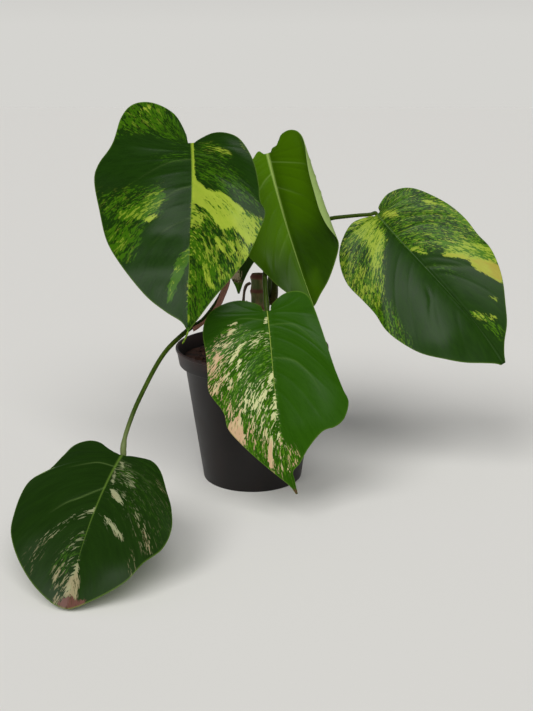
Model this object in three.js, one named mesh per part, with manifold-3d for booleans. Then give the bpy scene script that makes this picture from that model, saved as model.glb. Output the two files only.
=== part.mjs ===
// A variegated Monstera borsigiana in a small nursery pot.
// Millimetres. +Z is up, the front of the plant looks along -Y, and the origin is the middle of
// the pot's underside.

import * as THREE from 'three';
import Module from 'manifold-3d';
import { mergeVertices } from 'three/addons/utils/BufferGeometryUtils.js';

// Clearance between two pieces that touch.
const gap = 0.3;

// Pot: a thin tapered cup with a stacking lip, a flat underside and a ring of drain holes.
const potHeight = 115;
const potBaseRadius = 42;
const potNeckRadius = 56.5;
const potLipRadius = 61.5;
const potRimRadius = 64;
const potLipHeight = 14;
const potWall = 1.8;
const potFloor = 2.2;
const potSides = 48;
const drainHoles = 8;
const drainRadius = 4.5;
const drainCircle = 29;
const potShoulder = potHeight - potLipHeight;
const lipInside = potLipRadius - potWall;

// Potting mix: coarse bark chips on a filled body.
const mixLevel = 104;
const chipCount = 64;
const chipLength = 13;
const chipReach = 50;
const mixClear = 0.5;
const aboveMix = mixLevel + 26;

// Stem: an old cane with a cut top, and the green shoot that grew from its side.
const caneRadius = 5.4;
const caneRoot = new THREE.Vector3(5, 0, 60);
const caneTop = 176;
const caneWobble = 0.25;
const nodeSwell = 0.9;
const nodeRings = [34.8, 60.9, 87, 101.5, 113.1];
const shootRadius = 4.2;

// Blades and stalks.
const bladeThickness = 1;
const stalkRadius = 2;
const stalkFoot = 1.3;
const stalkSwell = 0.35;
const stalkTaper = 0.25;
const jointStub = 1.6;
const ribHalf = 2.6;
const ribDepth = 2.6;
const ribTaper = 0.85;
const tipHalf = 0.8;
// Distances out from the rib where a half's slope is the cup's and the edge's.
const cupAt = 12;
const edgeAt = 62;
// Where an edge's wave reaches its full height.
const waveAt = 50;
// A side vein climbs this much toward the tip for each millimetre out, and leaves the rib wide.
const veinClimb = 0.45;
const veinStart = { out: 1.1, along: 0.6 };
const rowStep = 0.5;

const wasm = await Module();
wasm.setup();

const v = (x, y, z) => new THREE.Vector3(x, y, z);
const smoothStep = (x) => THREE.MathUtils.smoothstep(x, 0, 1);

function curveThrough(list) {
  return new THREE.CatmullRomCurve3(list.map((p) => v(...p)), false, 'catmullrom', 0.5);
}

// The same draws on every run.
function seededRandom(seed) {
  let state = seed;
  return () => {
    state = (state * 1664525 + 1013904223) % 4294967296;
    return state / 4294967296;
  };
}

function welded(geometry) {
  const bare = geometry.clone();
  bare.deleteAttribute('normal');
  bare.deleteAttribute('uv');
  return mergeVertices(bare, 1e-4);
}

function toSolid(geometry) {
  const merged = welded(geometry);
  const vertProperties = new Float32Array(merged.attributes.position.array);
  const triVerts = new Uint32Array(merged.index.array);
  return new wasm.Manifold(new wasm.Mesh({ numProp: 3, vertProperties, triVerts }));
}

function toGeometry(solid) {
  const mesh = solid.getMesh();
  const geometry = new THREE.BufferGeometry();
  geometry.setAttribute('position', new THREE.BufferAttribute(mesh.vertProperties, 3));
  geometry.setIndex(new THREE.BufferAttribute(mesh.triVerts, 1));
  return geometry;
}

function indexedGeometry(vertices, triangles) {
  const geometry = new THREE.BufferGeometry();
  const flat = vertices.flatMap((p) => [p.x, p.y, p.z]);
  geometry.setAttribute('position', new THREE.Float32BufferAttribute(flat, 3));
  geometry.setIndex(triangles.flat());
  return geometry;
}

// A LatheGeometry turns about Y; the pot and the mix stand on Z.
function turned(profile, sides) {
  const outline = profile.map(([radius, height]) => new THREE.Vector2(radius, height));
  return new THREE.LatheGeometry(outline, sides).rotateX(Math.PI / 2);
}

function uprightCylinder(radius, x, y, low, high, sides = 20) {
  const cylinder = new THREE.CylinderGeometry(radius, radius, high - low, sides);
  return cylinder.rotateX(Math.PI / 2).translate(x, y, (low + high) / 2);
}

// A round rod along a curve. radiusAt gives the radius at 0..1 of the length.
function rod(curve, radiusAt, sides, steps) {
  const vertices = [];
  const triangles = [];
  let side = v(1, 0, 0);
  for (let i = 0; i <= steps; i += 1) {
    const u = i / steps;
    const centre = curve.getPointAt(u);
    const along = curve.getTangentAt(u);
    side = side.clone().addScaledVector(along, -side.dot(along)).normalize();
    const other = along.clone().cross(side);
    for (let k = 0; k < sides; k += 1) {
      const turn = (2 * Math.PI * k) / sides;
      const radius = radiusAt(u, turn);
      const spoke = side.clone().multiplyScalar(Math.cos(turn) * radius);
      spoke.addScaledVector(other, Math.sin(turn) * radius);
      vertices.push(centre.clone().add(spoke));
    }
  }
  for (let i = 0; i < steps; i += 1) {
    for (let k = 0; k < sides; k += 1) {
      const a = i * sides + k;
      const b = i * sides + ((k + 1) % sides);
      triangles.push([a, b, b + sides], [a, b + sides, a + sides]);
    }
  }
  const last = steps * sides;
  for (let k = 1; k < sides - 1; k += 1) {
    triangles.push([0, k + 1, k], [last, last + k, last + k + 1]);
  }
  return indexedGeometry(vertices, triangles);
}

// Leaves. joint and tip are the ends of the midrib, upper and lower bend it between them, and face
// is the way the upper side looks. Each half has its slopes (at the midrib, at the cup and at the
// edge, in degrees toward the face), its wave (height, count, phase) and its margin from the sinus
// to the tip as [out from the midrib, along it from the joint]. A roll turns an edge over.
const leaves = {
  upper_left: {
    joint: [-44, -50, 286], upper: [-42, -56, 243], lower: [-47, -84, 198], tip: [-45.5, -105, 155],
    face: [-0.2, -1, 0.35],
    left: {
      slopes: [14, 5, -16], wave: [1.6, 3, 0.4],
      margin: [[4, -7], [12, -22], [28, -31], [44, -31], [55, -22], [63, -4], [76, 12], [81, 24],
        [79, 42], [70, 68], [54, 91], [33, 115], [17, 128], [5, 136]],
    },
    right: {
      slopes: [28, 20, -6], wave: [1.2, 3, 2],
      margin: [[7, -2], [20, -6], [32, -5], [42, 1], [51, 17], [55, 35], [56, 47], [60, 57],
        [56, 72], [49, 91], [38, 105], [23, 121], [11, 134], [4, 140]],
    },
  },
  upper_middle: {
    joint: [13, -35, 277], upper: [22, -38, 240], lower: [34, -46, 200], tip: [48.5, -62, 163.5],
    face: [-0.3, -1, 0.2],
    left: {
      slopes: [30, 24, 8], wave: [0.8, 2, 1],
      margin: [[7, -3], [13, 2], [24, 12], [35, 26], [41, 42], [41, 57], [35, 72], [29, 84],
        [22, 98], [13, 111], [5, 119]],
    },
    right: {
      slopes: [30, 24, 12], wave: [0.6, 2, 0],
      roll: { from: 30, lean: 0.06, width: 20, turn: 150, start: -22, end: 102, ease: 14 },
      margin: [[6, -3], [12, -5], [17, -11], [26, -13], [35, -9], [44, 4], [49, 20], [52, 40],
        [52, 58], [48, 74], [40, 88], [31, 100], [21, 110], [10, 117], [4, 121]],
    },
  },
  right: {
    joint: [101.5, 0, 225], upper: [128, -9, 194.5], lower: [178.5, -36, 149.5], tip: [201, -50, 114],
    face: [0.1, -1, 0.35],
    left: {
      slopes: [18, 10, -12], wave: [1.6, 4, 0],
      margin: [[8, -3], [23, -7], [40, 0], [51, 11], [58, 27], [57, 46], [57, 60], [60, 76],
        [58, 90], [50, 111], [38, 128], [26, 140], [13, 149], [5, 154]],
    },
    right: {
      slopes: [18, 10, -12], wave: [1.2, 3, 1],
      margin: [[5, -4], [17, -7], [31, -2], [40, 9], [48, 30], [51, 50], [50, 66], [50, 80],
        [45, 94], [38, 107], [29, 120], [20, 133], [10, 143], [4, 151]],
    },
  },
  lower_middle: {
    joint: [12.5, -70, 161.5], upper: [18, -84, 118], lower: [18, -104, 72], tip: [35, -115, 30],
    face: [0, -1, 0.4],
    left: {
      slopes: [18, 10, -12], wave: [1.4, 4, 2],
      margin: [[6, -5], [20, -10], [35, -8], [46, -1], [51, 12], [50, 30], [50, 45], [50, 58],
        [41, 73], [39, 85], [30, 98], [19, 112], [9, 125], [3, 134]],
    },
    right: {
      slopes: [18, 10, -12], wave: [1.2, 3, 0],
      margin: [[4, -4], [14, -11], [25, -12], [33, -7], [37, 5], [42, 26], [47, 48], [52, 66],
        [55, 77], [50, 90], [42, 96], [32, 98], [20, 108], [10, 119], [3, 124], [2, 131]],
    },
  },
  lower_left: {
    joint: [-92.5, -140, 70.5], upper: [-104, -172, 58], lower: [-114, -212, 32], tip: [-118, -240, 3],
    face: [-0.1, -0.6, 0.9],
    left: {
      slopes: [16, 8, -12], wave: [1.2, 3, 1],
      margin: [[10, -1], [20, -5], [29, -4], [37, 3], [40, 14], [44, 28], [54, 38], [57, 50],
        [56, 64], [52, 78], [41, 95], [27, 110], [12, 121], [4, 124]],
    },
    right: {
      slopes: [16, 8, -12], wave: [1, 3, 0],
      margin: [[4, 1], [15, 1], [26, 3], [36, 12], [46, 29], [54, 44], [58, 60], [55, 76],
        [46, 89], [38, 103], [26, 113], [12, 121], [4, 124]],
    },
  },
  rear: {
    joint: [-8, 45, 242], upper: [-9, 58, 214], lower: [-11, 68, 178], tip: [-13, 72, 143],
    face: [0.1, 1, 0.3],
    left: {
      slopes: [18, 10, -12], wave: [1, 3, 0],
      margin: [[4, -5], [14, -15], [27, -17], [36, -8], [39, 8], [38, 26], [33, 44], [24, 58],
        [14, 71], [8, 82], [4, 92], [2, 99]],
    },
    right: {
      slopes: [18, 10, -12], wave: [1, 3, 2],
      margin: [[4, -5], [14, -14], [28, -15], [39, -5], [44, 12], [43, 32], [35, 52], [23, 70],
        [12, 84], [4, 96], [2, 100]],
    },
  },
};

const bladeRows = 18;
const ribColumns = [0, 0.5, 1];
const veinColumns = [0.2, 0.42, 0.64, 0.84, 1];

function midrib(leaf) {
  return new THREE.CubicBezierCurve3(v(...leaf.joint), v(...leaf.upper), v(...leaf.lower), v(...leaf.tip));
}

// The midrib's point and axes at a distance from the joint. Before the joint it runs on straight.
function midribFrame(leaf, along) {
  const { curve, length } = leaf;
  const u = THREE.MathUtils.clamp(along / length, 0, 1);
  const tangent = curve.getTangentAt(u);
  const origin = curve.getPointAt(u).addScaledVector(tangent, along - u * length);
  const face = v(...leaf.face);
  const normal = face.addScaledVector(tangent, -face.dot(tangent)).normalize();
  const across = normal.clone().cross(tangent);
  return { origin, tangent, normal, across };
}

// How far a half reaches sideways and toward the face after a distance along its bent section.
function section(half, out, along) {
  const steps = 16;
  const [atRib, atCup, atEdge] = half.slopes;
  let sideways = 0;
  let lift = 0;
  for (let k = 0; k < steps; k += 1) {
    const u = (out * (k + 0.5)) / steps;
    const inner = THREE.MathUtils.lerp(atRib, atCup, Math.min(u / cupAt, 1));
    const outer = Math.max(0, (u - cupAt) / (edgeAt - cupAt));
    let slope = THREE.MathUtils.lerp(inner, atEdge, Math.min(outer, 1));
    if (half.roll) {
      const { from, lean, width, turn, start, end, ease } = half.roll;
      const reach = smoothStep((along - start) / ease) * smoothStep((end - along) / ease);
      slope += turn * reach * smoothStep((u - from - lean * along) / width);
    }
    const angle = THREE.MathUtils.degToRad(slope);
    sideways += (Math.cos(angle) * out) / steps;
    lift += (Math.sin(angle) * out) / steps;
  }
  return [sideways, lift];
}

// One half's margin, evenly walked from the sinus to the tip.
function marginCurve(half, length) {
  const walk = [[ribHalf + 1, -0.4], ...half.margin, [tipHalf, length]];
  return curveThrough(walk.map(([out, along]) => [out, along, 0]));
}

// Where each cross row leaves the midrib: a side vein meets it at about 65 degrees.
function rowStarts(leaf, rows) {
  const starts = [];
  let last = -rowStep;
  for (let i = 0; i <= rows; i += 1) {
    const ends = [leaf.left, leaf.right].map((half) => half.curve.getPointAt(i / rows));
    const wanted = (ends[0].y + ends[1].y - veinClimb * (ends[0].x + ends[1].x)) / 2;
    last = Math.max(last + rowStep, Math.min(wanted, leaf.length * (0.94 + (0.06 * i) / rows)));
    starts.push(i === rows ? leaf.length : last);
  }
  return starts;
}

// A point of a half as [out, along]: first across the rib, then along a side vein to the margin.
function halfPoint(leaf, half, begin, fraction, column) {
  const rib = ribHalf * (1 - (ribTaper * begin) / leaf.length);
  if (column < ribColumns.length) {
    return [rib * ribColumns[column], begin];
  }
  const b = veinColumns[column - ribColumns.length];
  const end = half.curve.getPointAt(fraction);
  const bow = b * (1 - b);
  const out = rib + (veinStart.out * bow + b * b) * (end.x - rib);
  return [out, begin + (veinStart.along * bow + b * b) * (end.y - begin)];
}

// The midrib stands proud of the underside, deepest at the joint.
function ribAt(leaf, column, along) {
  if (column >= ribColumns.length) {
    return 0;
  }
  return ribDepth * (1 - (ribTaper * along) / leaf.length) * (1 - ribColumns[column] ** 2);
}

function bladeGeometry(source) {
  const leaf = { ...source, left: { ...source.left }, right: { ...source.right } };
  leaf.curve = midrib(source);
  leaf.length = leaf.curve.getLength();
  for (const half of [leaf.left, leaf.right]) {
    half.curve = marginCurve(half, leaf.length);
  }
  const starts = rowStarts(leaf, bladeRows);
  const outer = ribColumns.length + veinColumns.length - 1;
  const width = 2 * outer + 1;
  const middle = [];
  const ribs = [];
  for (let i = 0; i <= bladeRows; i += 1) {
    for (let j = -outer; j <= outer; j += 1) {
      const half = j < 0 ? leaf.left : leaf.right;
      const [out, along] = halfPoint(leaf, half, starts[i], i / bladeRows, Math.abs(j));
      const { origin, normal, across } = midribFrame(leaf, along);
      const [sideways, lift] = section(half, out, along);
      const [height, count, phase] = half.wave;
      const ripple = Math.sin((2 * Math.PI * count * i) / bladeRows + phase);
      const wave = height * ripple * (out / waveAt) ** 2;
      middle.push(origin.addScaledVector(across, Math.sign(j) * sideways)
        .addScaledVector(normal, lift + wave));
      ribs.push(normal.multiplyScalar(-ribAt(leaf, Math.abs(j), along)));
    }
  }
  const triangles = [];
  for (let i = 0; i < bladeRows; i += 1) {
    for (let j = 0; j < width - 1; j += 1) {
      const a = i * width + j;
      const c = a + width;
      triangles.push([a, c, c + 1], [a, c + 1, a + 1]);
    }
  }
  const normals = sheetNormals(middle, triangles, leaf);
  const top = middle.map((p, k) => p.clone().addScaledVector(normals[k], bladeThickness / 2));
  const bottom = middle.map((p, k) => (
    p.clone().addScaledVector(normals[k], -bladeThickness / 2).add(ribs[k])
  ));
  return shell(top, bottom, triangles, border(bladeRows, width));
}

function sheetNormals(sheet, triangles, leaf) {
  const normals = sheet.map(() => v(0, 0, 0));
  for (const [a, b, c] of triangles) {
    const edge = sheet[b].clone().sub(sheet[a]);
    const normal = edge.cross(sheet[c].clone().sub(sheet[a]));
    for (const k of [a, b, c]) {
      normals[k].add(normal);
    }
  }
  const facing = normals[Math.floor(normals.length / 2)].dot(v(...leaf.face)) > 0 ? 1 : -1;
  return normals.map((n) => n.normalize().multiplyScalar(facing));
}

// The grid's outer vertices, once round.
function border(rows, width) {
  const loop = [];
  for (let j = 0; j < width; j += 1) {
    loop.push(j);
  }
  for (let i = 1; i <= rows; i += 1) {
    loop.push(i * width + width - 1);
  }
  for (let j = width - 2; j >= 0; j -= 1) {
    loop.push(rows * width + j);
  }
  for (let i = rows - 1; i > 0; i -= 1) {
    loop.push(i * width);
  }
  return loop;
}

// A closed plate between two like grids.
function shell(top, bottom, triangles, loop) {
  const shift = top.length;
  const faces = [...triangles, ...triangles.map(([a, b, c]) => [a + shift, c + shift, b + shift])];
  loop.forEach((a, k) => {
    const b = loop[(k + 1) % loop.length];
    faces.push([a, b, b + shift], [a, b + shift, a + shift]);
  });
  const geometry = indexedGeometry([...top, ...bottom], faces);
  return signedVolume(geometry) > 0 ? geometry : flipped(geometry);
}

function signedVolume(geometry) {
  const { array } = geometry.attributes.position;
  const index = geometry.index.array;
  const at = (k) => v(array[3 * k], array[3 * k + 1], array[3 * k + 2]);
  let volume = 0;
  for (let i = 0; i < index.length; i += 3) {
    volume += at(index[i]).dot(at(index[i + 1]).cross(at(index[i + 2]))) / 6;
  }
  return volume;
}

function flipped(geometry) {
  const index = Array.from(geometry.index.array);
  for (let i = 0; i < index.length; i += 3) {
    [index[i], index[i + 1]] = [index[i + 1], index[i]];
  }
  geometry.setIndex(index);
  return geometry;
}

// The shoot's axis.
const shootCurve = curveThrough([[6, 1, 136], [10.5, 3.5, 148], [15, 7, 162], [18.4, 9.6, 180],
  [19.6, 10.6, 200], [20.6, 11, 214], [21.4, 10.6, 226]]);

function shootRadiusAt(u) {
  return shootRadius * (1 - 0.25 * u) * (1 - 0.85 * smoothStep((u - 0.86) / 0.14));
}

// Leaf stalks. foot gives the height on the shoot where a stalk leaves it and the side that it
// leaves from, in degrees round from +X. way is its run up to the joint of its blade.
const stalks = {
  upper_left: { foot: [192, 248], behind: true, way: [[15.5, 0, 211], [9, -4, 228], [-5, -11, 247],
    [-20, -21, 264], [-32, -31, 275.5], [-39.5, -38, 280.5]] },
  upper_middle: { foot: [201, 312], behind: true, way: [[26, 3, 222], [26, 1, 240], [22, -6, 257],
    [18.5, -15, 269], [16, -22.5, 274]] },
  right: { foot: [172, 10], swell: 0.1, taper: 0.5, way: [[30, 12, 192], [38, 11, 204],
    [50, 8, 214], [64, 5, 219.5], [76, 3, 221.4], [88, 1, 223.2], [96, 0.4, 224.8]] },
  lower_middle: { foot: [150, 306], taper: 0, way: [[18.5, -8, 172], [15.6, -20, 187],
    [13, -33, 193], [11.2, -46, 189], [10.8, -57, 180]] },
  lower_left: { foot: [180, 200], swell: 0.65, way: [[9, 5, 197], [1, -3, 208], [-11, -11, 204],
    [-18.5, -16, 188], [-23, -20.5, 166], [-36.8, -40, 148.4], [-50, -55, 142],
    [-66.9, -80, 129.3], [-82, -110, 104.7], [-89.8, -128, 86], [-91.8, -136, 76]] },
  rear: { foot: [184, 110], behind: true, way: [[14, 21, 202], [7, 25, 219], [-2, 29.5, 232],
    [-7, 34, 237]] },
};

// The foot of a stalk lies against the shoot for a few millimetres.
function footPoints([height, side]) {
  const turn = THREE.MathUtils.degToRad(side);
  return [0, 7].map((rise) => {
    let u = 0;
    while (shootCurve.getPointAt(u).z < height + rise) {
      u += 0.005;
    }
    const reach = shootRadiusAt(u) + stalkRadius + stalkFoot + 1.5 * gap;
    return shootCurve.getPointAt(u).add(v(reach * Math.cos(turn), reach * Math.sin(turn), 0)).toArray();
  });
}

// A stalk ends a gap short of its blade: at the sinus, level with the blade's upper face, or
// behind it, against the back of the rib.
function stalkCurve(name) {
  const { foot, way, behind } = stalks[name];
  const leaf = leaves[name];
  const curve = midrib(leaf);
  const { origin, tangent, normal } = midribFrame({ ...leaf, curve, length: curve.getLength() }, 0);
  const end = origin.clone();
  if (behind) {
    end.addScaledVector(tangent, stalkRadius);
    end.addScaledVector(normal, -bladeThickness / 2 - ribDepth - gap);
  } else {
    end.addScaledVector(tangent, -gap);
    end.addScaledVector(normal, bladeThickness / 2 - stalkRadius);
  }
  const before = end.clone().addScaledVector(behind ? normal : tangent, -jointStub);
  return curveThrough([...footPoints(foot), ...way, before.toArray(), end.toArray()]);
}

// Sheathed at the foot, slim along its run and a little swollen where it turns into the blade.
function stalkGeometry(name) {
  const { swell: fullSwell = stalkSwell, taper: fullTaper = stalkTaper } = stalks[name];
  const curve = stalkCurve(name);
  const length = curve.getLength();
  const radiusAt = (u) => {
    const run = u * length;
    const left = length - run;
    const foot = stalkFoot * (1 - smoothStep((run - 5) / 30));
    const swell = fullSwell * smoothStep((16 - left) / 6) * smoothStep(left / 5);
    const taper = fullTaper * smoothStep((run - 30) / (length - 45));
    return stalkRadius + foot + swell - taper;
  };
  return rod(curve, radiusAt, 8, Math.round(length / 7) + 8);
}

// The lower left stalk's old sheath has dried to a papery gutter round its front.
const sheathStart = 0.17;
const sheathEnd = 0.52;
const sheathWall = 0.8;
const sheathClear = 0.75;
// How far round the stalk it reaches to each side at its two ends, in degrees.
const sheathWide = 125;
const sheathNarrow = 34;

function sheathGeometry() {
  const curve = stalkCurve('lower_left');
  const steps = 20;
  const sides = 8;
  const inner = [];
  const outer = [];
  for (let i = 0; i <= steps; i += 1) {
    const u = THREE.MathUtils.lerp(sheathStart, sheathEnd, i / steps);
    const centre = curve.getPointAt(u);
    const along = curve.getTangentAt(u);
    const back = v(0.5, -0.8, -0.2);
    back.addScaledVector(along, -back.dot(along)).normalize();
    const side = along.clone().cross(back);
    const narrowing = smoothStep((i / steps - 0.25) / 0.5);
    const open = THREE.MathUtils.lerp(sheathWide, sheathNarrow, narrowing);
    const flare = 0.5 * Math.sin(1.7 * i) + 0.4;
    for (let k = 0; k <= sides; k += 1) {
      const turn = THREE.MathUtils.degToRad(THREE.MathUtils.lerp(-open, open, k / sides));
      const spoke = back.clone().multiplyScalar(Math.cos(turn)).addScaledVector(side, Math.sin(turn));
      const lip = Math.abs(k / sides - 0.5) * 2;
      const clear = stalkRadius + sheathClear + flare * lip ** 3;
      inner.push(centre.clone().addScaledVector(spoke, clear));
      outer.push(centre.clone().addScaledVector(spoke, clear + sheathWall));
    }
  }
  const width = sides + 1;
  const triangles = [];
  for (let i = 0; i < steps; i += 1) {
    for (let k = 0; k < sides; k += 1) {
      const a = i * width + k;
      triangles.push([a, a + width, a + width + 1], [a, a + width + 1, a + 1]);
    }
  }
  return shell(outer, inner, triangles, border(steps, width));
}

// The cane, with a ring at each old leaf scar and a cut top, its shoot and a small bud.
function stemGeometry() {
  const cane = new THREE.LineCurve3(caneRoot, v(caneRoot.x, caneRoot.y, caneTop));
  const tall = caneTop - caneRoot.z;
  const caneAt = (u, turn) => {
    const height = u * tall;
    const ring = (at) => Math.exp(-(((height - at) / 2.4) ** 2));
    const swell = nodeRings.reduce((sum, at) => sum + ring(at), 0);
    const cut = 0.7 * smoothStep((height - tall + 2) / 2);
    const wobble = caneWobble * Math.sin(3 * turn + height / 20);
    return caneRadius + nodeSwell * swell - cut + wobble;
  };
  const shoot = rod(shootCurve, shootRadiusAt, 10, 20);
  const bud = rod(curveThrough([[3, -1, 148], [-2, -3, 150.5], [-4.6, -4, 154]]),
    (u) => 2.2 * (1 - 0.8 * u ** 2), 8, 6);
  return toGeometry(toSolid(rod(cane, caneAt, 12, 40)).add(toSolid(shoot)).add(toSolid(bud)));
}

// Aerial roots run down from the cane's nodes and stand in the mix.
const rootPaths = {
  left: [[-1.4, 1, 168], [-5, 2, 165], [-6.8, 3, 157], [-7.5, 3, 142], [-9, 4, 122], [-9, 4, 112],
    [-9, 4, 90]],
  rear: [[4.7, 6.4, 150], [4.2, 9.6, 149], [3, 13, 145], [3, 15, 136], [6, 17, 120], [6, 17, 112],
    [6, 17, 90]],
  right: [[11.4, -1, 128], [14.5, -2, 124], [16, -3, 116], [16, -3, 112], [16, -3, 90]],
};
const rootRadius = 1.2;
const rootKnob = 1.12;

function rootGeometry(name) {
  const knobbly = (u) => rootRadius * (1 + (rootKnob - 1) * Math.sin(31 * u));
  return rod(curveThrough(rootPaths[name]), knobbly, 7, 16);
}

// The inner radius of the pot below its shoulder.
function potInside(height) {
  return THREE.MathUtils.lerp(potBaseRadius, potNeckRadius, height / potShoulder) - potWall;
}

// Outside up from the middle of the underside to the rim, then inside down again.
function potGeometry() {
  const profile = [
    [0, 0], [potBaseRadius - 1.2, 0], [potBaseRadius, 1.2],
    [potNeckRadius, potShoulder - 1], [potLipRadius - 0.8, potShoulder],
    [potLipRadius, potShoulder + 0.8], [potRimRadius - 0.9, potHeight - 2.6],
    [potRimRadius, potHeight - 2.2], [potRimRadius, potHeight - 0.5],
    [potRimRadius - 0.5, potHeight], [potRimRadius - potWall, potHeight],
    [lipInside, potShoulder + potWall], [potInside(potShoulder - 2), potShoulder - 1.4],
    [potInside(potFloor), potFloor], [0, potFloor],
  ];
  let body = toSolid(turned(profile, potSides));
  for (let i = 0; i < drainHoles; i += 1) {
    const turn = (2 * Math.PI * (i + 0.5)) / drainHoles;
    const x = drainCircle * Math.cos(turn);
    const y = drainCircle * Math.sin(turn);
    body = body.subtract(toSolid(uprightCylinder(drainRadius, x, y, -1, potFloor + 1, 14)));
  }
  return toGeometry(body);
}

// A bark chip: a block whose corners are knocked about.
function chipGeometry(random) {
  const length = chipLength * (0.6 + 0.5 * random());
  const width = length * (0.45 + 0.3 * random());
  const block = welded(new THREE.BoxGeometry(length, width, 4 + 4 * random()));
  const corners = block.attributes.position;
  for (let k = 0; k < corners.count; k += 1) {
    const squeeze = () => 0.78 + 0.3 * random();
    corners.setXYZ(k, corners.getX(k) * squeeze(), corners.getY(k) * squeeze(),
      corners.getZ(k) * squeeze());
  }
  return block.rotateX(0.5 * (random() - 0.5)).rotateY(0.5 * (random() - 0.5))
    .rotateZ(2 * Math.PI * random());
}

const goldenAngle = Math.PI * (3 - Math.sqrt(5));

function mixGeometry() {
  const random = seededRandom(7);
  const bottom = potFloor + gap;
  const profile = [
    [0, bottom], [potInside(bottom) - mixClear, bottom],
    [potInside(potShoulder - 2) - mixClear, potShoulder - 1],
    [lipInside - 2 * mixClear, potShoulder + potWall + mixClear], [lipInside - mixClear, mixLevel],
    [0, mixLevel],
  ];
  let body = toSolid(turned(profile, potSides));
  for (let i = 0; i < chipCount; i += 1) {
    const ring = chipReach * Math.sqrt((i + 0.5) / chipCount);
    const turn = goldenAngle * i + 0.5 * random();
    const chip = chipGeometry(random);
    chip.translate(ring * Math.cos(turn), ring * Math.sin(turn), mixLevel - 1 + 2.4 * random());
    body = body.add(toSolid(chip));
  }
  const stemHole = uprightCylinder(caneRadius + nodeSwell + caneWobble + gap, caneRoot.x,
    caneRoot.y, caneRoot.z - gap, aboveMix);
  body = body.subtract(toSolid(stemHole));
  for (const path of Object.values(rootPaths)) {
    const [x, y, z] = path.at(-1);
    const hole = uprightCylinder(rootRadius * rootKnob + gap, x, y, z - gap, aboveMix, 12);
    body = body.subtract(toSolid(hole));
  }
  return toGeometry(body);
}

// Finishes.
const finishes = {
  plastic: { color: 0x1c1513, roughness: 0.5 },
  bark: { color: 0x4a3526, roughness: 0.95 },
  cane: { color: 0x5c5238, roughness: 0.75 },
  root: { color: 0x6a5646, roughness: 0.85 },
  papery: { color: 0x7a5a48, roughness: 0.8 },
  stalk: { color: 0x5d8a2c, roughness: 0.45 },
  darkLeaf: { color: 0x1f4a14, roughness: 0.38 },
  youngLeaf: { color: 0x64a018, roughness: 0.36 },
  leaf: { color: 0x2f6a18, roughness: 0.38 },
};

const plant = new THREE.Group();

function place(name, geometry, finish) {
  const material = new THREE.MeshStandardMaterial({ ...finishes[finish], metalness: 0 });
  material.name = finish;
  const mesh = new THREE.Mesh(geometry, material);
  mesh.name = name;
  plant.add(mesh);
}

place('pot', potGeometry(), 'plastic');
place('potting_mix', mixGeometry(), 'bark');
place('stem', stemGeometry(), 'cane');
for (const name of Object.keys(rootPaths)) {
  place(`aerial_root_${name}`, rootGeometry(name), 'root');
}
for (const name of Object.keys(leaves)) {
  const young = name === 'upper_middle' ? 'youngLeaf' : 'leaf';
  place(`leaf_stalk_${name}`, stalkGeometry(name), 'stalk');
  place(`leaf_blade_${name}`, bladeGeometry(leaves[name]), name === 'upper_left' ? 'darkLeaf' : young);
}
place('dry_sheath', sheathGeometry(), 'papery');

export default plant;
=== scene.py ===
import math
import random

import bpy
import numpy as np
from mathutils import Matrix, Vector


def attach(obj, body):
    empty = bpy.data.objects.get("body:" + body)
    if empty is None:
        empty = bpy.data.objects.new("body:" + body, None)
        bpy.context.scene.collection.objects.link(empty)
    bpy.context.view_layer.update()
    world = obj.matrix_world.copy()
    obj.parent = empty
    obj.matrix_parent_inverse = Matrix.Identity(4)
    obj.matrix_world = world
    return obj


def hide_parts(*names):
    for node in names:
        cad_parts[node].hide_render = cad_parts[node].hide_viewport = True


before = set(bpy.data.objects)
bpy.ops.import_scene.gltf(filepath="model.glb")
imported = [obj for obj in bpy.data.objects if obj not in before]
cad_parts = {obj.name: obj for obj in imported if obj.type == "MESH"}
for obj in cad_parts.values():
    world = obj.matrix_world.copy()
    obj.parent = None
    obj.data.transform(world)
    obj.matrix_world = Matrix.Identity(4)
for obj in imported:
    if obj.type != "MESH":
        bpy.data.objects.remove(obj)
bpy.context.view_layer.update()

# Potted variegated monstera: six heart-shaped blades on long stalks, a cut cane with its shoot,
# a dry sheath, aerial roots and a nursery pot of bark. Sizes are millimetres until a mesh is made.
mm = 0.001


# Shared helpers

def linear(code):  # sRGB hex to linear RGBA
    parts = [int(code[k:k + 2], 16) / 255 for k in (1, 3, 5)]
    return (*[c / 12.92 if c <= 0.04045 else ((c + 0.055) / 1.055) ** 2.4 for c in parts], 1)


def addNode(tree, kind, settings=None, links=None):
    node = tree.nodes.new(kind)
    for key, value in (settings or {}).items():
        if isinstance(key, int) or key in node.inputs:
            node.inputs[key].default_value = value
        else:
            setattr(node, key, value)
    for key, source in (links or {}).items():
        tree.links.new(source, node.inputs[key])
    return node


def newMaterial(name):  # an empty material, and a function that adds a node to it
    material = bpy.data.materials.new(name)
    material.use_nodes = True
    material.node_tree.nodes.clear()
    return material, lambda *node: addNode(material.node_tree, *node)


def coated(add, colour, coats, blend="MIX"):  # a colour with coats over it, each a tone and its share
    for tone, share in coats:
        settings, links = {"data_type": "RGBA", "blend_type": blend}, {"Factor": share}
        for socket, value in ((6, colour), (7, tone)):
            if isinstance(value, str):
                settings[socket] = linear(value)
            else:
                links[socket] = value
        colour = add("ShaderNodeMix", settings, links).outputs[2]
    return colour


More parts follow.
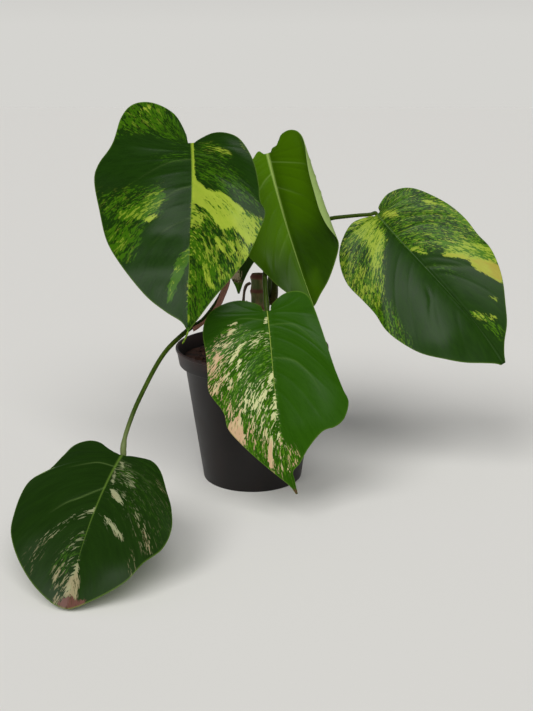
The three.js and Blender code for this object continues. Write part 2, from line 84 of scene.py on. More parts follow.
# A surface other than a leaf's: patterns (size in mm, detail, roughness), a ground between two colours,
# and coats over it. A share of the surface is (pattern or axis, from, to, most, away from this place);
# a coat that has several takes them multiplied. The bump is (pattern, strength, depth in mm), roughBy
# is (pattern, smoothest, roughest), and skin holds the shader's own constants.
def surfaceMaterial(name, look):
    material, add = newMaterial(name)
    if look["place"] == "Object":
        place, perMm = add("ShaderNodeTexCoord").outputs["Object"], 1 / mm
    else:
        place, perMm = add("ShaderNodeAttribute", {"attribute_name": look["place"]}).outputs["Vector"], 1
    sources = dict(zip("xyz", add("ShaderNodeSeparateXYZ", {}, {"Vector": place}).outputs))
    for key, (size, detail, rough) in look["patterns"].items():
        scale = [perMm / s if s else 0 for s in size]
        drawn = add("ShaderNodeMapping", {"Scale": scale}, {"Vector": place}).outputs[0]
        noise = {"Scale": 1, "Detail": detail, "Roughness": rough}
        sources[key] = add("ShaderNodeTexNoise", noise, {"Vector": drawn}).outputs["Fac"]

    def shareOf(source, low, high, most=1, around=None):
        value = sources[source]
        if around is not None:
            off = add("ShaderNodeMath", {"operation": "SUBTRACT", 1: around}, {0: value}).outputs[0]
            value = add("ShaderNodeMath", {"operation": "ABSOLUTE"}, {0: off}).outputs[0]
        limits = {"From Min": low, "From Max": high, "To Max": most}
        return add("ShaderNodeMapRange", limits, {"Value": value}).outputs[0]

    dark, pale, share = look["ground"]
    ground = coated(add, dark, [(pale, shareOf(*share))])
    coats = []
    for tone, first, *others in look.get("coats", ()):
        amount = shareOf(*first)
        for share in others:
            both = {0: amount, 1: shareOf(*share)}
            amount = add("ShaderNodeMath", {"operation": "MULTIPLY"}, both).outputs[0]
        coats.append((tone, amount))
    colour = coated(add, ground, coats, look.get("blend", "MIX"))
    pattern, strength, depth = look["bump"]
    bump = add("ShaderNodeBump", {"Strength": strength, "Distance": depth * mm}, {"Height": sources[pattern]})
    links = {"Base Color": colour, "Normal": bump.outputs[0]}
    if "roughBy" in look:
        pattern, low, high = look["roughBy"]
        rough = add("ShaderNodeMapRange", {"To Min": low, "To Max": high}, {"Value": sources[pattern]})
        links["Roughness"] = rough.outputs[0]
    skin = add("ShaderNodeBsdfPrincipled", look["skin"], links)
    add("ShaderNodeOutputMaterial", {}, {"Surface": skin.outputs[0]})
    return material


def smoothStep(x):
    x = np.clip(x, 0, 1)
    return x * x * (3 - 2 * x)


def unit(a):
    return a / np.maximum(np.linalg.norm(a, axis=-1, keepdims=True), 1e-12)


def runOf(line):  # distance walked along a line at each of its points
    return np.concatenate([[0.0], np.cumsum(np.linalg.norm(np.diff(line, axis=0), axis=1))])


def splineThrough(points, perSpan=24):  # uniform Catmull-Rom, its ends reflected
    p = np.array(points, float)
    p = np.vstack([2 * p[0] - p[1], p, 2 * p[-1] - p[-2]])
    t = np.linspace(0, 1, perSpan, endpoint=False)[:, None]
    spans = []
    for a, b, c, d in zip(p[:-3], p[1:-2], p[2:-1], p[3:]):
        spans.append(0.5 * (2 * b + (c - a) * t + (2 * a - 5 * b + 4 * c - d) * t ** 2
                            + (3 * b - a - 3 * c + d) * t ** 3))
    return np.vstack([*spans, p[-2][None]])


def evenWalk(line, shares):  # points of a line at shares of its length
    run = runOf(line)
    at = np.asarray(shares) * run[-1]
    return np.stack([np.interp(at, run, line[:, k]) for k in range(line.shape[1])], -1)


def ringFaces(rings, sides):  # quads between rings of points, each ring after the one before it
    index = np.arange(rings * sides).reshape(rings, sides)
    right = np.roll(index, -1, axis=1)
    return np.stack([index[:-1], right[:-1], right[1:], index[1:]], -1).reshape(-1, 4).tolist(), index


def fan(hub, ring):  # triangles from a middle point to a ring
    return [[hub, int(a), int(b)] for a, b in zip(ring, np.roll(ring, -1))]


def shellFaces(rows, width):  # two sheets of one grid, the second right after the first, joined at the rim
    grid = np.arange(rows * width).reshape(rows, width)
    quads = np.stack([grid[:-1, :-1], grid[1:, :-1], grid[1:, 1:], grid[:-1, 1:]], -1).reshape(-1, 4)
    loop = np.concatenate([grid[0, :-1], grid[:-1, -1], grid[-1, :0:-1], grid[:0:-1, 0]])
    after = np.roll(loop, -1)
    rim = np.stack([loop, after, after + grid.size, loop + grid.size], -1)
    return np.vstack([quads, quads[:, ::-1] + grid.size, rim]), len(quads)


def tube(line, radiusAt, sides, closedTop=True):  # a rod round a line; radiusAt takes (run, turn) grids
    run = runOf(line)
    side = np.array([1.0, 0, 0])
    spokes = []
    for along in unit(np.gradient(line, axis=0)):
        side = side - (side @ along) * along
        side = side / np.linalg.norm(side)
        spokes.append((side, np.cross(along, side)))
    spokes = np.array(spokes)
    turn = np.arange(sides) * 2 * math.pi / sides
    runs = np.repeat(run[:, None], sides, 1)
    turns = np.repeat(turn[None], len(line), 0)
    radius = radiusAt(runs, turns)
    points = (line[:, None] + spokes[:, None, 0] * (radius * np.cos(turn))[..., None]
              + spokes[:, None, 1] * (radius * np.sin(turn))[..., None]).reshape(-1, 3)
    places = np.stack([runs, turns * radius.mean(), runs / run[-1]], -1).reshape(-1, 3)
    faces, index = ringFaces(len(line), sides)
    ends = [(line[0], 0, index[0][::-1])] + ([(line[-1], 1, index[-1])] if closedTop else [])
    for centre, share, ring in ends:
        faces += fan(len(points), ring)
        points = np.vstack([points, centre[None]])
        places = np.vstack([places, [[run[-1] * share, 0, share]]])
    return points, faces, places


def joined(parts):  # several (points, faces, places) as one
    points, faces, places, shift = [], [], [], 0
    for partPoints, partFaces, partPlaces in parts:
        points.append(partPoints)
        places.append(partPlaces)
        faces += [[k + shift for k in face] for face in partFaces]
        shift += len(partPoints)
    return np.vstack(points), faces, np.vstack(places)


def meshPiece(name, points, faces, attributes=None, sharp=None):
    mesh = bpy.data.meshes.new(name)
    mesh.from_pydata((np.asarray(points) * mm).tolist(), [], [list(f) for f in faces])
    for key, values in (attributes or {}).items():
        values = np.asarray(values, np.float32)
        kind, field = ("FLOAT_COLOR", "color") if values.shape[1] == 4 else ("FLOAT_VECTOR", "vector")
        mesh.attributes.new(key, kind, "POINT").data.foreach_set(field, values.ravel())
    mesh.validate()
    mesh.update()
    mesh.shade_smooth()
    if sharp:
        mesh.set_sharp_from_angle(angle=math.radians(sharp))
    piece = bpy.data.objects.new(name, mesh)
    bpy.context.scene.collection.objects.link(piece)
    return piece


def settle(piece, node, material):
    piece.data.materials.append(material)
    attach(piece, "root")
    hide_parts(node)


# Camera: level with the pot, looking a little down on it

view = {"target": (12, 0, 106), "distance": 900, "elevation": 16, "focalPixels": 1071, "tall": 711}


def makeCamera():
    camera = bpy.data.cameras.new("camera")
    camera.sensor_width = 36
    camera.lens = camera.sensor_width * view["focalPixels"] / view["tall"]
    camera.clip_start, camera.clip_end = 0.05, 20
    eye = bpy.data.objects.new("camera", camera)
    bpy.context.scene.collection.objects.link(eye)
    lift = math.radians(view["elevation"])
    back = Vector((0, -math.cos(lift), math.sin(lift)))
    eye.location = (Vector(view["target"]) + back * view["distance"]) * mm
    eye.rotation_mode = "QUATERNION"
    eye.rotation_quaternion = (-back).to_track_quat("-Z", "Y")
    bpy.context.scene.camera = eye


makeCamera()
print("camera set")


# Leaf blades

# joint and tip are the ends of the midrib, upper and lower bend it, face is where the upper side
# looks. A half has slopes (degrees at the rib, the cup and the edge), an edge wave (height, count,
# phase) and a margin as (out from the midrib, along it). A roll turns an edge over, by degrees.
leaves = {
    "upper_left": {
        "joint": (-44, -50, 286), "upper": (-42, -56, 243), "lower": (-47, -84, 198),
        "tip": (-45.5, -105, 155), "face": (-0.2, -1, 0.35),
        "left": {"slopes": (14, 5, -16), "wave": (1.6, 3, 0.4), "margin": (
            (4, -7), (12, -22), (28, -31), (44, -31), (55, -22), (63, -4), (76, 12), (81, 24),
            (79, 42), (70, 68), (54, 91), (33, 115), (17, 128), (5, 136))},
        "right": {"slopes": (28, 20, -6), "wave": (1.2, 3, 2), "margin": (
            (7, -2), (20, -6), (32, -5), (42, 1), (51, 17), (55, 35), (56, 47), (60, 57),
            (56, 72), (49, 91), (38, 105), (23, 121), (11, 134), (4, 140))},
    },
    "upper_middle": {
        "joint": (13, -35, 277), "upper": (22, -38, 240), "lower": (34, -46, 200),
        "tip": (48.5, -62, 163.5), "face": (-0.3, -1, 0.2),
        "left": {"slopes": (30, 24, 8), "wave": (0.8, 2, 1), "margin": (
            (7, -3), (13, 2), (24, 12), (35, 26), (41, 42), (41, 57), (35, 72), (29, 84),
            (22, 98), (13, 111), (5, 119))},
        "right": {"slopes": (30, 24, 12), "wave": (0.6, 2, 0), "roll": {
            "from": 30, "lean": 0.06, "width": 20, "turn": 150, "start": -22, "end": 102, "ease": 14,
        }, "margin": (
            (6, -3), (12, -5), (17, -11), (26, -13), (34, -9), (41.5, 4), (46, 20), (48.5, 40),
            (50, 58), (48, 74), (40, 88), (31, 100), (21, 110), (10, 117), (4, 121))},
    },
    "right": {
        "joint": (101.5, 0, 225), "upper": (128, -9, 194.5), "lower": (178.5, -36, 149.5),
        "tip": (201, -50, 114), "face": (0.1, -1, 0.35),
        "left": {"slopes": (18, 10, -12), "wave": (1.6, 4, 0), "margin": (
            (8, -3), (23, -7), (40, 0), (51, 11), (58, 27), (57, 46), (57, 60), (60, 76),
            (58, 90), (50, 111), (38, 128), (26, 140), (13, 149), (5, 154))},
        "right": {"slopes": (18, 10, -12), "wave": (1.2, 3, 1), "margin": (
            (5, -4), (17, -7), (31, -2), (40, 9), (48, 30), (51, 50), (50, 66), (50, 80),
            (45, 94), (38, 107), (29, 120), (20, 133), (10, 143), (4, 151))},
    },
    "lower_middle": {
        "joint": (12.5, -70, 161.5), "upper": (18, -84, 118), "lower": (18, -104, 72),
        "tip": (35, -115, 30), "face": (0, -1, 0.4),
        "left": {"slopes": (18, 10, -12), "wave": (1.4, 4, 2), "margin": (
            (6, -5), (20, -10), (35, -8), (46, -1), (51, 12), (50, 30), (50, 45), (50, 58),
            (41, 73), (39, 85), (30, 98), (19, 112), (9, 125), (3, 134))},
        "right": {"slopes": (18, 10, -12), "wave": (1.2, 3, 0), "margin": (
            (4, -4), (14, -11), (25, -12), (33, -7), (37, 5), (42, 26), (47, 48), (52, 66),
            (55, 77), (50, 90), (42, 96), (32, 98), (20, 108), (10, 119), (3, 124), (2, 131))},
    },
    "lower_left": {
        "joint": (-92.5, -140, 70.5), "upper": (-104, -172, 58), "lower": (-114, -212, 32),
        "tip": (-118, -240, 3), "face": (-0.1, -0.6, 0.9),
        "left": {"slopes": (16, 8, -12), "wave": (1.2, 3, 1), "margin": (
            (10, -1), (20, -5), (29, -4), (37, 3), (40, 14), (44, 28), (54, 38), (57, 50),
            (56, 64), (52, 78), (41, 95), (27, 110), (12, 121), (4, 124))},
        "right": {"slopes": (16, 8, -12), "wave": (1, 3, 0), "margin": (
            (4, 1), (15, 1), (26, 3), (36, 12), (46, 29), (54, 44), (58, 60), (55, 76),
            (46, 89), (38, 103), (26, 113), (12, 121), (4, 124))},
    },
    "rear": {
        "joint": (-8, 45, 242), "upper": (-9, 58, 214), "lower": (-11, 68, 178),
        "tip": (-13, 72, 143), "face": (0.1, 1, 0.3),
        "left": {"slopes": (18, 10, -12), "wave": (1, 3, 0), "margin": (
            (4, -5), (14, -15), (27, -17), (36, -8), (39, 8), (38, 26), (33, 44), (24, 58),
            (14, 71), (8, 82), (4, 92), (2, 99))},
        "right": {"slopes": (18, 10, -12), "wave": (1, 3, 2), "margin": (
            (4, -5), (14, -14), (28, -15), (39, -5), (44, 12), (43, 32), (35, 52), (23, 70),
            (12, 84), (4, 96), (2, 100))},
    },
}

blade = {
    "rows": 176,            # from the sinus to the tip
    "ribSteps": 4, "veinSteps": 46,
    "thick": 0.9, "thickEdge": 0.45, "edgeThin": 14,
    "ribHalf": 2.6, "ribDepth": 2.6, "ribTaper": 0.85,
    "cupAt": 12, "edgeAt": 62, "waveAt": 50, "tipHalf": 0.8,
    "fanShare": 0.2,        # this share of the margin is served by veins that leave the joint
    "fanLong": 4,           # and leaves it within this run of the midrib
    "veinBend": 2.1,        # how late a side vein turns toward the tip
    "veinStraight": 0.3,
    "sideVeins": 9, "firstVein": 0.1, "lastVein": 0.93, "veinDrift": 0.16,
    "grooveDeep": 0.08, "grooveUnder": 0.3, "grooveWide": 1.2, "quilt": 0.15, "quiltWide": 14,
    "lineWide": 0.5, "creaseWide": 1.9,
    "valleyDeep": 0.08, "valleyAt": 3.4, "valleyWide": 1.2,  # the dip beside the midrib
    "rowRun": 150,          # the margin's length as the marbling sees it
    "halfShift": 40,        # sets the two halves' marbling apart
    "edgeScale": 40,        # the edge distance is stored in this many mm
}


def midribOf(leaf):
    s = np.linspace(0, 1, 241)[:, None]
    a, b, c, d = (np.array(leaf[k], float) for k in ("joint", "upper", "lower", "tip"))
    line = (1 - s) ** 3 * a + 3 * s * (1 - s) ** 2 * b + 3 * s ** 2 * (1 - s) * c + s ** 3 * d
    way = unit((1 - s) ** 2 * (b - a) + 2 * s * (1 - s) * (c - b) + s ** 2 * (d - c))
    return {"line": line, "way": way, "run": runOf(line)}


def frameAlong(leaf, midrib, along):  # before the joint the midrib runs on straight
    held = np.clip(along, 0, midrib["run"][-1])
    pick = lambda table: np.stack([np.interp(held, midrib["run"], table[:, k]) for k in range(3)], -1)
    tangent = unit(pick(midrib["way"]))
    origin = pick(midrib["line"]) + tangent * (along - held)[..., None]
    face = np.array(leaf["face"], float)
    normal = unit(face - (tangent @ face)[..., None] * tangent)
    return origin, normal, np.cross(normal, tangent)


def sectionOf(half, out, along):  # sideways reach and lift after a distance along the bent section
    steps = 16
    atRib, atCup, atEdge = half["slopes"]
    sideways, lift = np.zeros_like(out), np.zeros_like(out)
    for k in range(steps):
        u = out * (k + 0.5) / steps
        inner = atRib + (atCup - atRib) * np.clip(u / blade["cupAt"], 0, 1)
        outer = np.clip((u - blade["cupAt"]) / (blade["edgeAt"] - blade["cupAt"]), 0, 1)
        slope = inner + (atEdge - inner) * outer
        if "roll" in half:
            roll = half["roll"]
            reach = (smoothStep((along - roll["start"]) / roll["ease"])
                     * smoothStep((roll["end"] - along) / roll["ease"]))
            slope = slope + roll["turn"] * reach * smoothStep(
                (u - roll["from"] - roll["lean"] * along) / roll["width"])
        sideways += np.cos(np.radians(slope)) * out / steps
        lift += np.sin(np.radians(slope)) * out / steps
    return sideways, lift


def veinStarts(length):  # where each row leaves the midrib: a fan at the joint, then ever further on
    t = np.linspace(0, 1, blade["rows"] + 1)
    late = np.clip((t - blade["fanShare"]) / (1 - blade["fanShare"]), 0, 1)
    return blade["fanLong"] * t + (length - blade["fanLong"]) * (0.55 * late ** 1.6 + 0.45 * late ** 5)


def halfGrid(half, length, starts):  # a half's places as (out, along), rows by columns from the midrib
    rows = blade["rows"]
    walk = [(blade["ribHalf"] + 1, -0.4), *half["margin"], (blade["tipHalf"], length)]
    ends = evenWalk(splineThrough(walk), np.linspace(0, 1, rows + 1))
    rib = blade["ribHalf"] * (1 - blade["ribTaper"] * starts / length)
    ribShare = np.linspace(0, 1, blade["ribSteps"] + 1)
    b = np.linspace(0, 1, blade["veinSteps"] + 1)[1:]
    b = np.append(b[:-1], [0.5 * (b[-2] + b[-1]) + 0.004, 1])
    bow = blade["veinStraight"] * b + (1 - blade["veinStraight"]) * b ** blade["veinBend"]
    out = np.hstack([rib[:, None] * ribShare, rib[:, None] + b * (ends[:, 0] - rib)[:, None]])
    along = np.hstack([np.repeat(starts[:, None], len(ribShare), 1),
                       starts[:, None] + bow * (ends[:, 1] - starts)[:, None]])
    across = np.concatenate([np.zeros(len(ribShare)), b])
    return out, along, np.repeat(across[None], rows + 1, 0)


def sideVeinRelief(points, across, seed):  # grooves along the side veins, the blade swelling between
    rows, count = blade["rows"], blade["sideVeins"]
    first, last, drift = blade["firstVein"], blade["lastVein"], blade["veinDrift"]
    draw = random.Random(seed)
    places = [rows * (first + (last - first) * (k + 0.5 + draw.uniform(-drift, drift)) / count)
              for k in range(count)]
    spacing = np.linalg.norm(np.gradient(points, axis=0), axis=-1)  # mm from row to row
    index = np.arange(rows + 1)[:, None]
    veins = np.array([0, *places, rows])
    nearest = np.min(np.abs(index[..., None] - np.array(places)), axis=-1)
    groove = np.exp(-(nearest * spacing / blade["grooveWide"]) ** 2)
    fade = smoothStep((1 - across) / 0.16) * smoothStep(across / 0.02)
    slot = np.clip(np.searchsorted(veins, index[:, 0], side="right") - 1, 0, len(veins) - 2)
    gap = veins[slot + 1] - veins[slot]
    swell = np.sin(math.pi * (index[:, 0] - veins[slot]) / gap)[:, None] ** 0.8
    swell = swell * smoothStep(across / 0.3) * smoothStep((1 - across) / 0.35)
    return groove * fade, swell * np.clip(spacing * gap[:, None] / blade["quiltWide"], 0, 1)


def insideShare(places, outline, feather):  # 1 well inside a closed outline, 0 outside it
    p = np.asarray(outline, float)
    inside = np.zeros(len(places), bool)
    nearest = np.full(len(places), np.inf)
    for a, b in zip(p, np.roll(p, -1, axis=0)):
        d = b - a
        t = np.clip(((places - a) @ d) / max(d @ d, 1e-9), 0, 1)
        nearest = np.minimum(nearest, np.linalg.norm(places - a - t[:, None] * d, axis=1))
        crosses = (a[1] > places[:, 1]) != (b[1] > places[:, 1])
        inside ^= crosses & (places[:, 0] < a[0] + d[0] * (places[:, 1] - a[1]) / (d[1] or 1e-9))
    return smoothStep(0.5 + np.where(inside, nearest, -nearest) / (2 * feather))


# Side veins and creases that show, from the midrib outward: how pale, how deep in mm, and the way as
# (out, along).
shownVeins = {
    "upper_left": (
        (0.3, 0.1, ((0, 12), (-20, 15), (-50, 30))), (0.35, 0.15, ((0, 32), (-16, 38), (-40, 58))),
        (0.2, 0.15, ((0, 56), (-18, 66), (-34, 84))), (0.2, 0.1, ((0, 8), (22, 14), (46, 40)))),
    "upper_middle": (
        (0.45, 0.12, ((2, 7), (16, 10), (30, 14), (36, 18))), (0.35, 0.12, ((0, 26), (12, 32), (26, 40))),
        (0.7, 0.12, ((0, 15), (-8, 20), (-16, 28))), (0.25, 0.1, ((0, 62), (-10, 74), (-16, 84)))),
    "right": (
        (0.5, 0.2, ((0, 24), (20, 30), (40, 44))), (0.4, 0.4, ((0, 58), (8, 64), (20, 76), (32, 88))),
        (0, 0.45, ((-11, 68), (-16, 80), (-24, 89), (-30, 99), (-33, 116)))),
    # The two pale lines on its right half are real veins, paled further by painted sheen.
    "lower_middle": (
        (0.34, 0.12, ((0, 11), (10, 11), (20, 13), (30, 22), (36, 32))),
        (0.42, 0.12, ((2, 36), (12, 38), (20, 42), (30, 55), (38, 75))),
        (0.35, 0.1, ((1, 8), (-20, 4), (-34, 8)))),
    "lower_left": (
        (0.6, 0.2, ((0, 12), (-12, 13), (-20, 17), (-32, 24))),
        (0.7, 0.2, ((0, 32), (-12, 44), (-22, 52), (-30, 62))),
        (0.3, 0.1, ((0, 10), (22, 18), (40, 34)))),
    "rear": ((0.3, 0.1, ((0, 16), (20, 24), (34, 44))), (0.3, 0.1, ((0, 16), (-18, 24), (-32, 44)))),
}


def veinShow(name, out, along):  # the paleness and the groove of the veins that show
    show, groove = np.zeros_like(out), np.zeros_like(out)
    places = np.stack([out, along], -1)
    for strength, depth, way in shownVeins[name]:
        line = splineThrough(way, 8)
        share = np.linspace(1, 0, len(line))
        for a, b, ahead in zip(line[:-1], line[1:], share):
            t = np.clip((places - a) @ (b - a) / ((b - a) @ (b - a)), 0, 1)
            away = np.linalg.norm(places - a - t[..., None] * (b - a), axis=-1)
            fade = min(1, 1.6 * ahead)
            show = np.maximum(show, strength * fade * np.exp(-(away / blade["lineWide"]) ** 2))
            rise = 1 if strength else min(1, 5 * (1 - ahead))  # a crease off the rib also starts softly
            groove = np.maximum(groove, depth * fade * rise * np.exp(-(away / blade["creaseWide"]) ** 2))
    return show, groove


# Gentle swells of the blades, where their sheen breaks: (out, along), half widths and height in mm.
swells = {
    "upper_left": (
        ((-18, 68), (22, 10), 1.7), ((-22, 98), (24, 11), -1.9), ((-62, 24), (20, 9), 0.8),
        ((-64, 4), (18, 8), -0.8), ((28, 8), (14, 7), 0.7), ((34, 26), (16, 8), -0.6)),
    "upper_middle": (
        ((-23, 87), (4.5, 12), 1.3), ((-15, 108), (4, 9), 0.9), ((18, 62), (16, 10), 0.7),
        ((22, 84), (14, 10), -0.7)),
    "right": (
        ((-26, 112), (26, 12), 0.8), ((-22, 134), (24, 12), -0.8), ((-22, 66), (14, 12), 0.5),
        ((12, 98), (16, 14), 0.6), ((0, 158), (44, 27), -4.4)),
    "lower_middle": (((22, 58), (20, 14), -0.3), ((18, 96), (18, 13), 1), ((-12, 88), (10, 14), 0.6)),
    "lower_left": (((-34, 76), (14, 12), 0.8), ((26, 92), (16, 10), 0.8), ((-30, 52), (16, 10), -0.6)),
    "rear": (),
}


def swellOf(name, out, along):
    lift = np.zeros_like(out)
    for (x, y), (wide, long), height in swells[name]:
        lift += height * np.exp(-((out - x) / wide) ** 2 - ((along - y) / long) ** 2)
    return lift


# How far each midrib stands out of the blade's face, in mm (below 0 it lies in a groove), and how much
# its pale line fades on the way to the tip.
ribs = {
    "upper_left": (0.15, 0.4), "upper_middle": (0.4, 0.4), "right": (-0.35, 0.4),
    "lower_middle": (0.4, 0.14), "lower_left": (0.35, 0.4), "rear": (0.3, 0.4),
}

# The upper left blade ends in a thin drip tip that hangs in front of the low stalk.
dripTips = {
    "upper_left": {
        "radius": 0.8, "rows": 24, "sides": 16, "round": 3, "close": 1.2, "tones": (1, 0.3, 0, 0),
        "way": ((-45.4, -104.3, 157.6), (-45.6, -105.2, 154.6), (-46.8, -105.8, 151.2),
                (-48.4, -106, 148), (-49.9, -106, 145.2))},
}

toneOrder = ("mid", "lime", "cream", "brown")


def toneShares(places, marks):
    shares = np.zeros((len(places), len(toneOrder)))
    for tones, feather, outline in marks:
        weight = insideShare(places, outline, feather)
        for tone, share in tones.items():
            k = toneOrder.index(tone)
            shares[:, k] += (share - shares[:, k]) * weight
    return shares


def halfOf(name, leaf, midrib, side, seed):  # one half of a blade as grids, its columns from left to right
    half = leaf["left" if side < 0 else "right"]
    length = midrib["run"][-1]
    starts = veinStarts(length)
    out, along, across = halfGrid(half, length, starts)
    origin, normal, cross = frameAlong(leaf, midrib, along)
    sideways, lift = sectionOf(half, out, along)
    height, count, phase = half["wave"]
    share = np.linspace(0, 1, blade["rows"] + 1)[:, None]
    wave = height * np.sin(2 * math.pi * count * share + phase) * (out / blade["waveAt"]) ** 2
    points = origin + cross * (side * sideways)[..., None] + normal * (lift + wave)[..., None]
    groove, swell = sideVeinRelief(points, across, seed + side)
    vein, crease = veinShow(name, side * out, along)
    ribWide = blade["ribHalf"] * (1 - blade["ribTaper"] * starts[:, None] / length)
    steps = np.linalg.norm(np.diff(points, axis=1), axis=-1)
    run = np.hstack([np.zeros((len(starts), 1)), np.cumsum(steps, axis=1)])
    grids = {
        "points": points, "normal": normal, "out": side * out, "along": along, "run": run,
        "row": np.repeat(share * blade["rowRun"], out.shape[1], 1), "edge": run[:, -1:] - run,
        "rib": np.clip(1 - out / ribWide, 0, 1), "vein": vein, "crease": crease, "groove": groove,
        "swell": swell, "gentle": swellOf(name, side * out, along),
    }
    return {key: grid[:, ::-1] if side < 0 else grid[:, 1:] for key, grid in grids.items()}


def dripTip(drip):
    line = evenWalk(splineThrough(drip["way"]), np.linspace(0, 1, drip["rows"] + 1))
    long = runOf(line)[-1]

    def radiusAt(run, turn):
        start = 0.45 + 0.55 * smoothStep(run / drip["round"])
        end = 1 - 0.6 * smoothStep((run - long + drip["close"]) / drip["close"])
        return drip["radius"] * start * (1 - 0.3 * run / long) * end

    points, faces, places = tube(line, radiusAt, drip["sides"])
    same = np.ones((len(points), 1)) * (blade["halfShift"], 0, 0, 0, 0.5, *drip["tones"])
    return points, faces, np.hstack([places[:, :2], same])


def makeBlade(name, leaf, marks, seed):
    midrib = midribOf(leaf)
    length = midrib["run"][-1]
    left, right = (halfOf(name, leaf, midrib, side, seed) for side in (-1, 1))
    data = {key: np.concatenate([left[key], right[key]], axis=1) for key in left}
    rows, width = data["points"].shape[:2]
    data = {key: grid.reshape(rows * width, -1) for key, grid in data.items()}
    points = data["points"]
    faces, topCount = shellFaces(rows, width)
    top = faces[:topCount]
    a, b, c, d = (points[top[:, k]] for k in range(4))
    facing = np.cross(b - a, c - a) + np.cross(c - a, d - a)
    normals = np.zeros_like(points)
    for k in range(4):
        np.add.at(normals, top[:, k], facing)
    normals = unit(normals)
    if normals[len(normals) // 2] @ np.array(leaf["face"]) < 0:
        normals, faces = -normals, faces[:, ::-1]
    crown, ribFade = ribs[name]
    valley = blade["valleyDeep"] * np.exp(-((data["run"] - blade["valleyAt"]) / blade["valleyWide"]) ** 2)
    lift = data["swell"] * blade["quilt"] - data["groove"] * blade["grooveDeep"] - data["crease"]
    lift += data["gentle"] + crown * data["rib"] ** 0.5 - valley
    inward = smoothStep(data["edge"] / blade["edgeThin"])
    thick = blade["thickEdge"] + (blade["thick"] - blade["thickEdge"]) * inward
    along = np.clip(data["along"] / length, 0, 1)
    under = blade["ribDepth"] * (1 - blade["ribTaper"] * along) * (1 - (1 - data["rib"]) ** 2)
    upper = points + normals * (lift + thick / 2)
    lower = points + normals * (lift - thick / 2 - blade["grooveUnder"] * data["groove"])
    lower -= data["normal"] * under
    edge = np.clip(data["edge"] / blade["edgeScale"], 0, 1)
    ribLine = data["rib"] * (1 - ribFade * along)
    tones = toneShares(np.hstack([data["out"], data["along"]]), marks)
    # veinPlace is mm from the midrib, mm along the margin and the half; lines are the rib, the veins, the
    # underside and how far the edge is.
    place = [data["run"], data["row"], np.sign(data["out"]) * blade["halfShift"], ribLine, data["vein"]]
    sheets = [np.hstack([*place, np.full_like(edge, isUnder), edge, tones]) for isUnder in (0, 1)]
    parts = [(np.vstack([upper, lower]), faces.tolist(), np.vstack(sheets))]
    if name in dripTips:
        parts.append(dripTip(dripTips[name]))
    points, faces, data = joined(parts)
    return meshPiece(f"leaf_blade_{name}_fine", points, faces,
                     {"veinPlace": data[:, :3], "lines": data[:, 3:7], "tones": data[:, 7:]})


# Leaf surface: a waxy cuticle over tissue, so a soft satin gloss. Tones lie in broken streaks along
# the side veins, because each streak is one row of cells that lost its green.
leafLook = {
    "deep": "#142d06", "green": "#234405", "mid": "#467007", "lime": "#a9b640", "limeWarm": "#87a328",
    "cream": "#c3cc98", "creamPink": "#d5b48c", "brown": "#573830", "rib": "#8fae35", "vein": "#86a35a",
    "edge": "#6f9030", "under": "#8aa35c", "underShare": 0.62,
    "ribFrom": 0.5, "ribFull": 0.85, "ribShare": 0.8, "veinShare": 0.4, "edgeShare": 0.45, "edgeWide": 0.028,
    "rough": 0.22, "underRough": 0.6, "gloss": 0.12, "through": 0.14, "pinkFrom": 0.02, "pinkSoft": 0.3,
    "streakLong": 3.3, "streakWide": 0.88, "thinShow": 0.45, "shift": 0, "midAsPaintedLight": False,
}


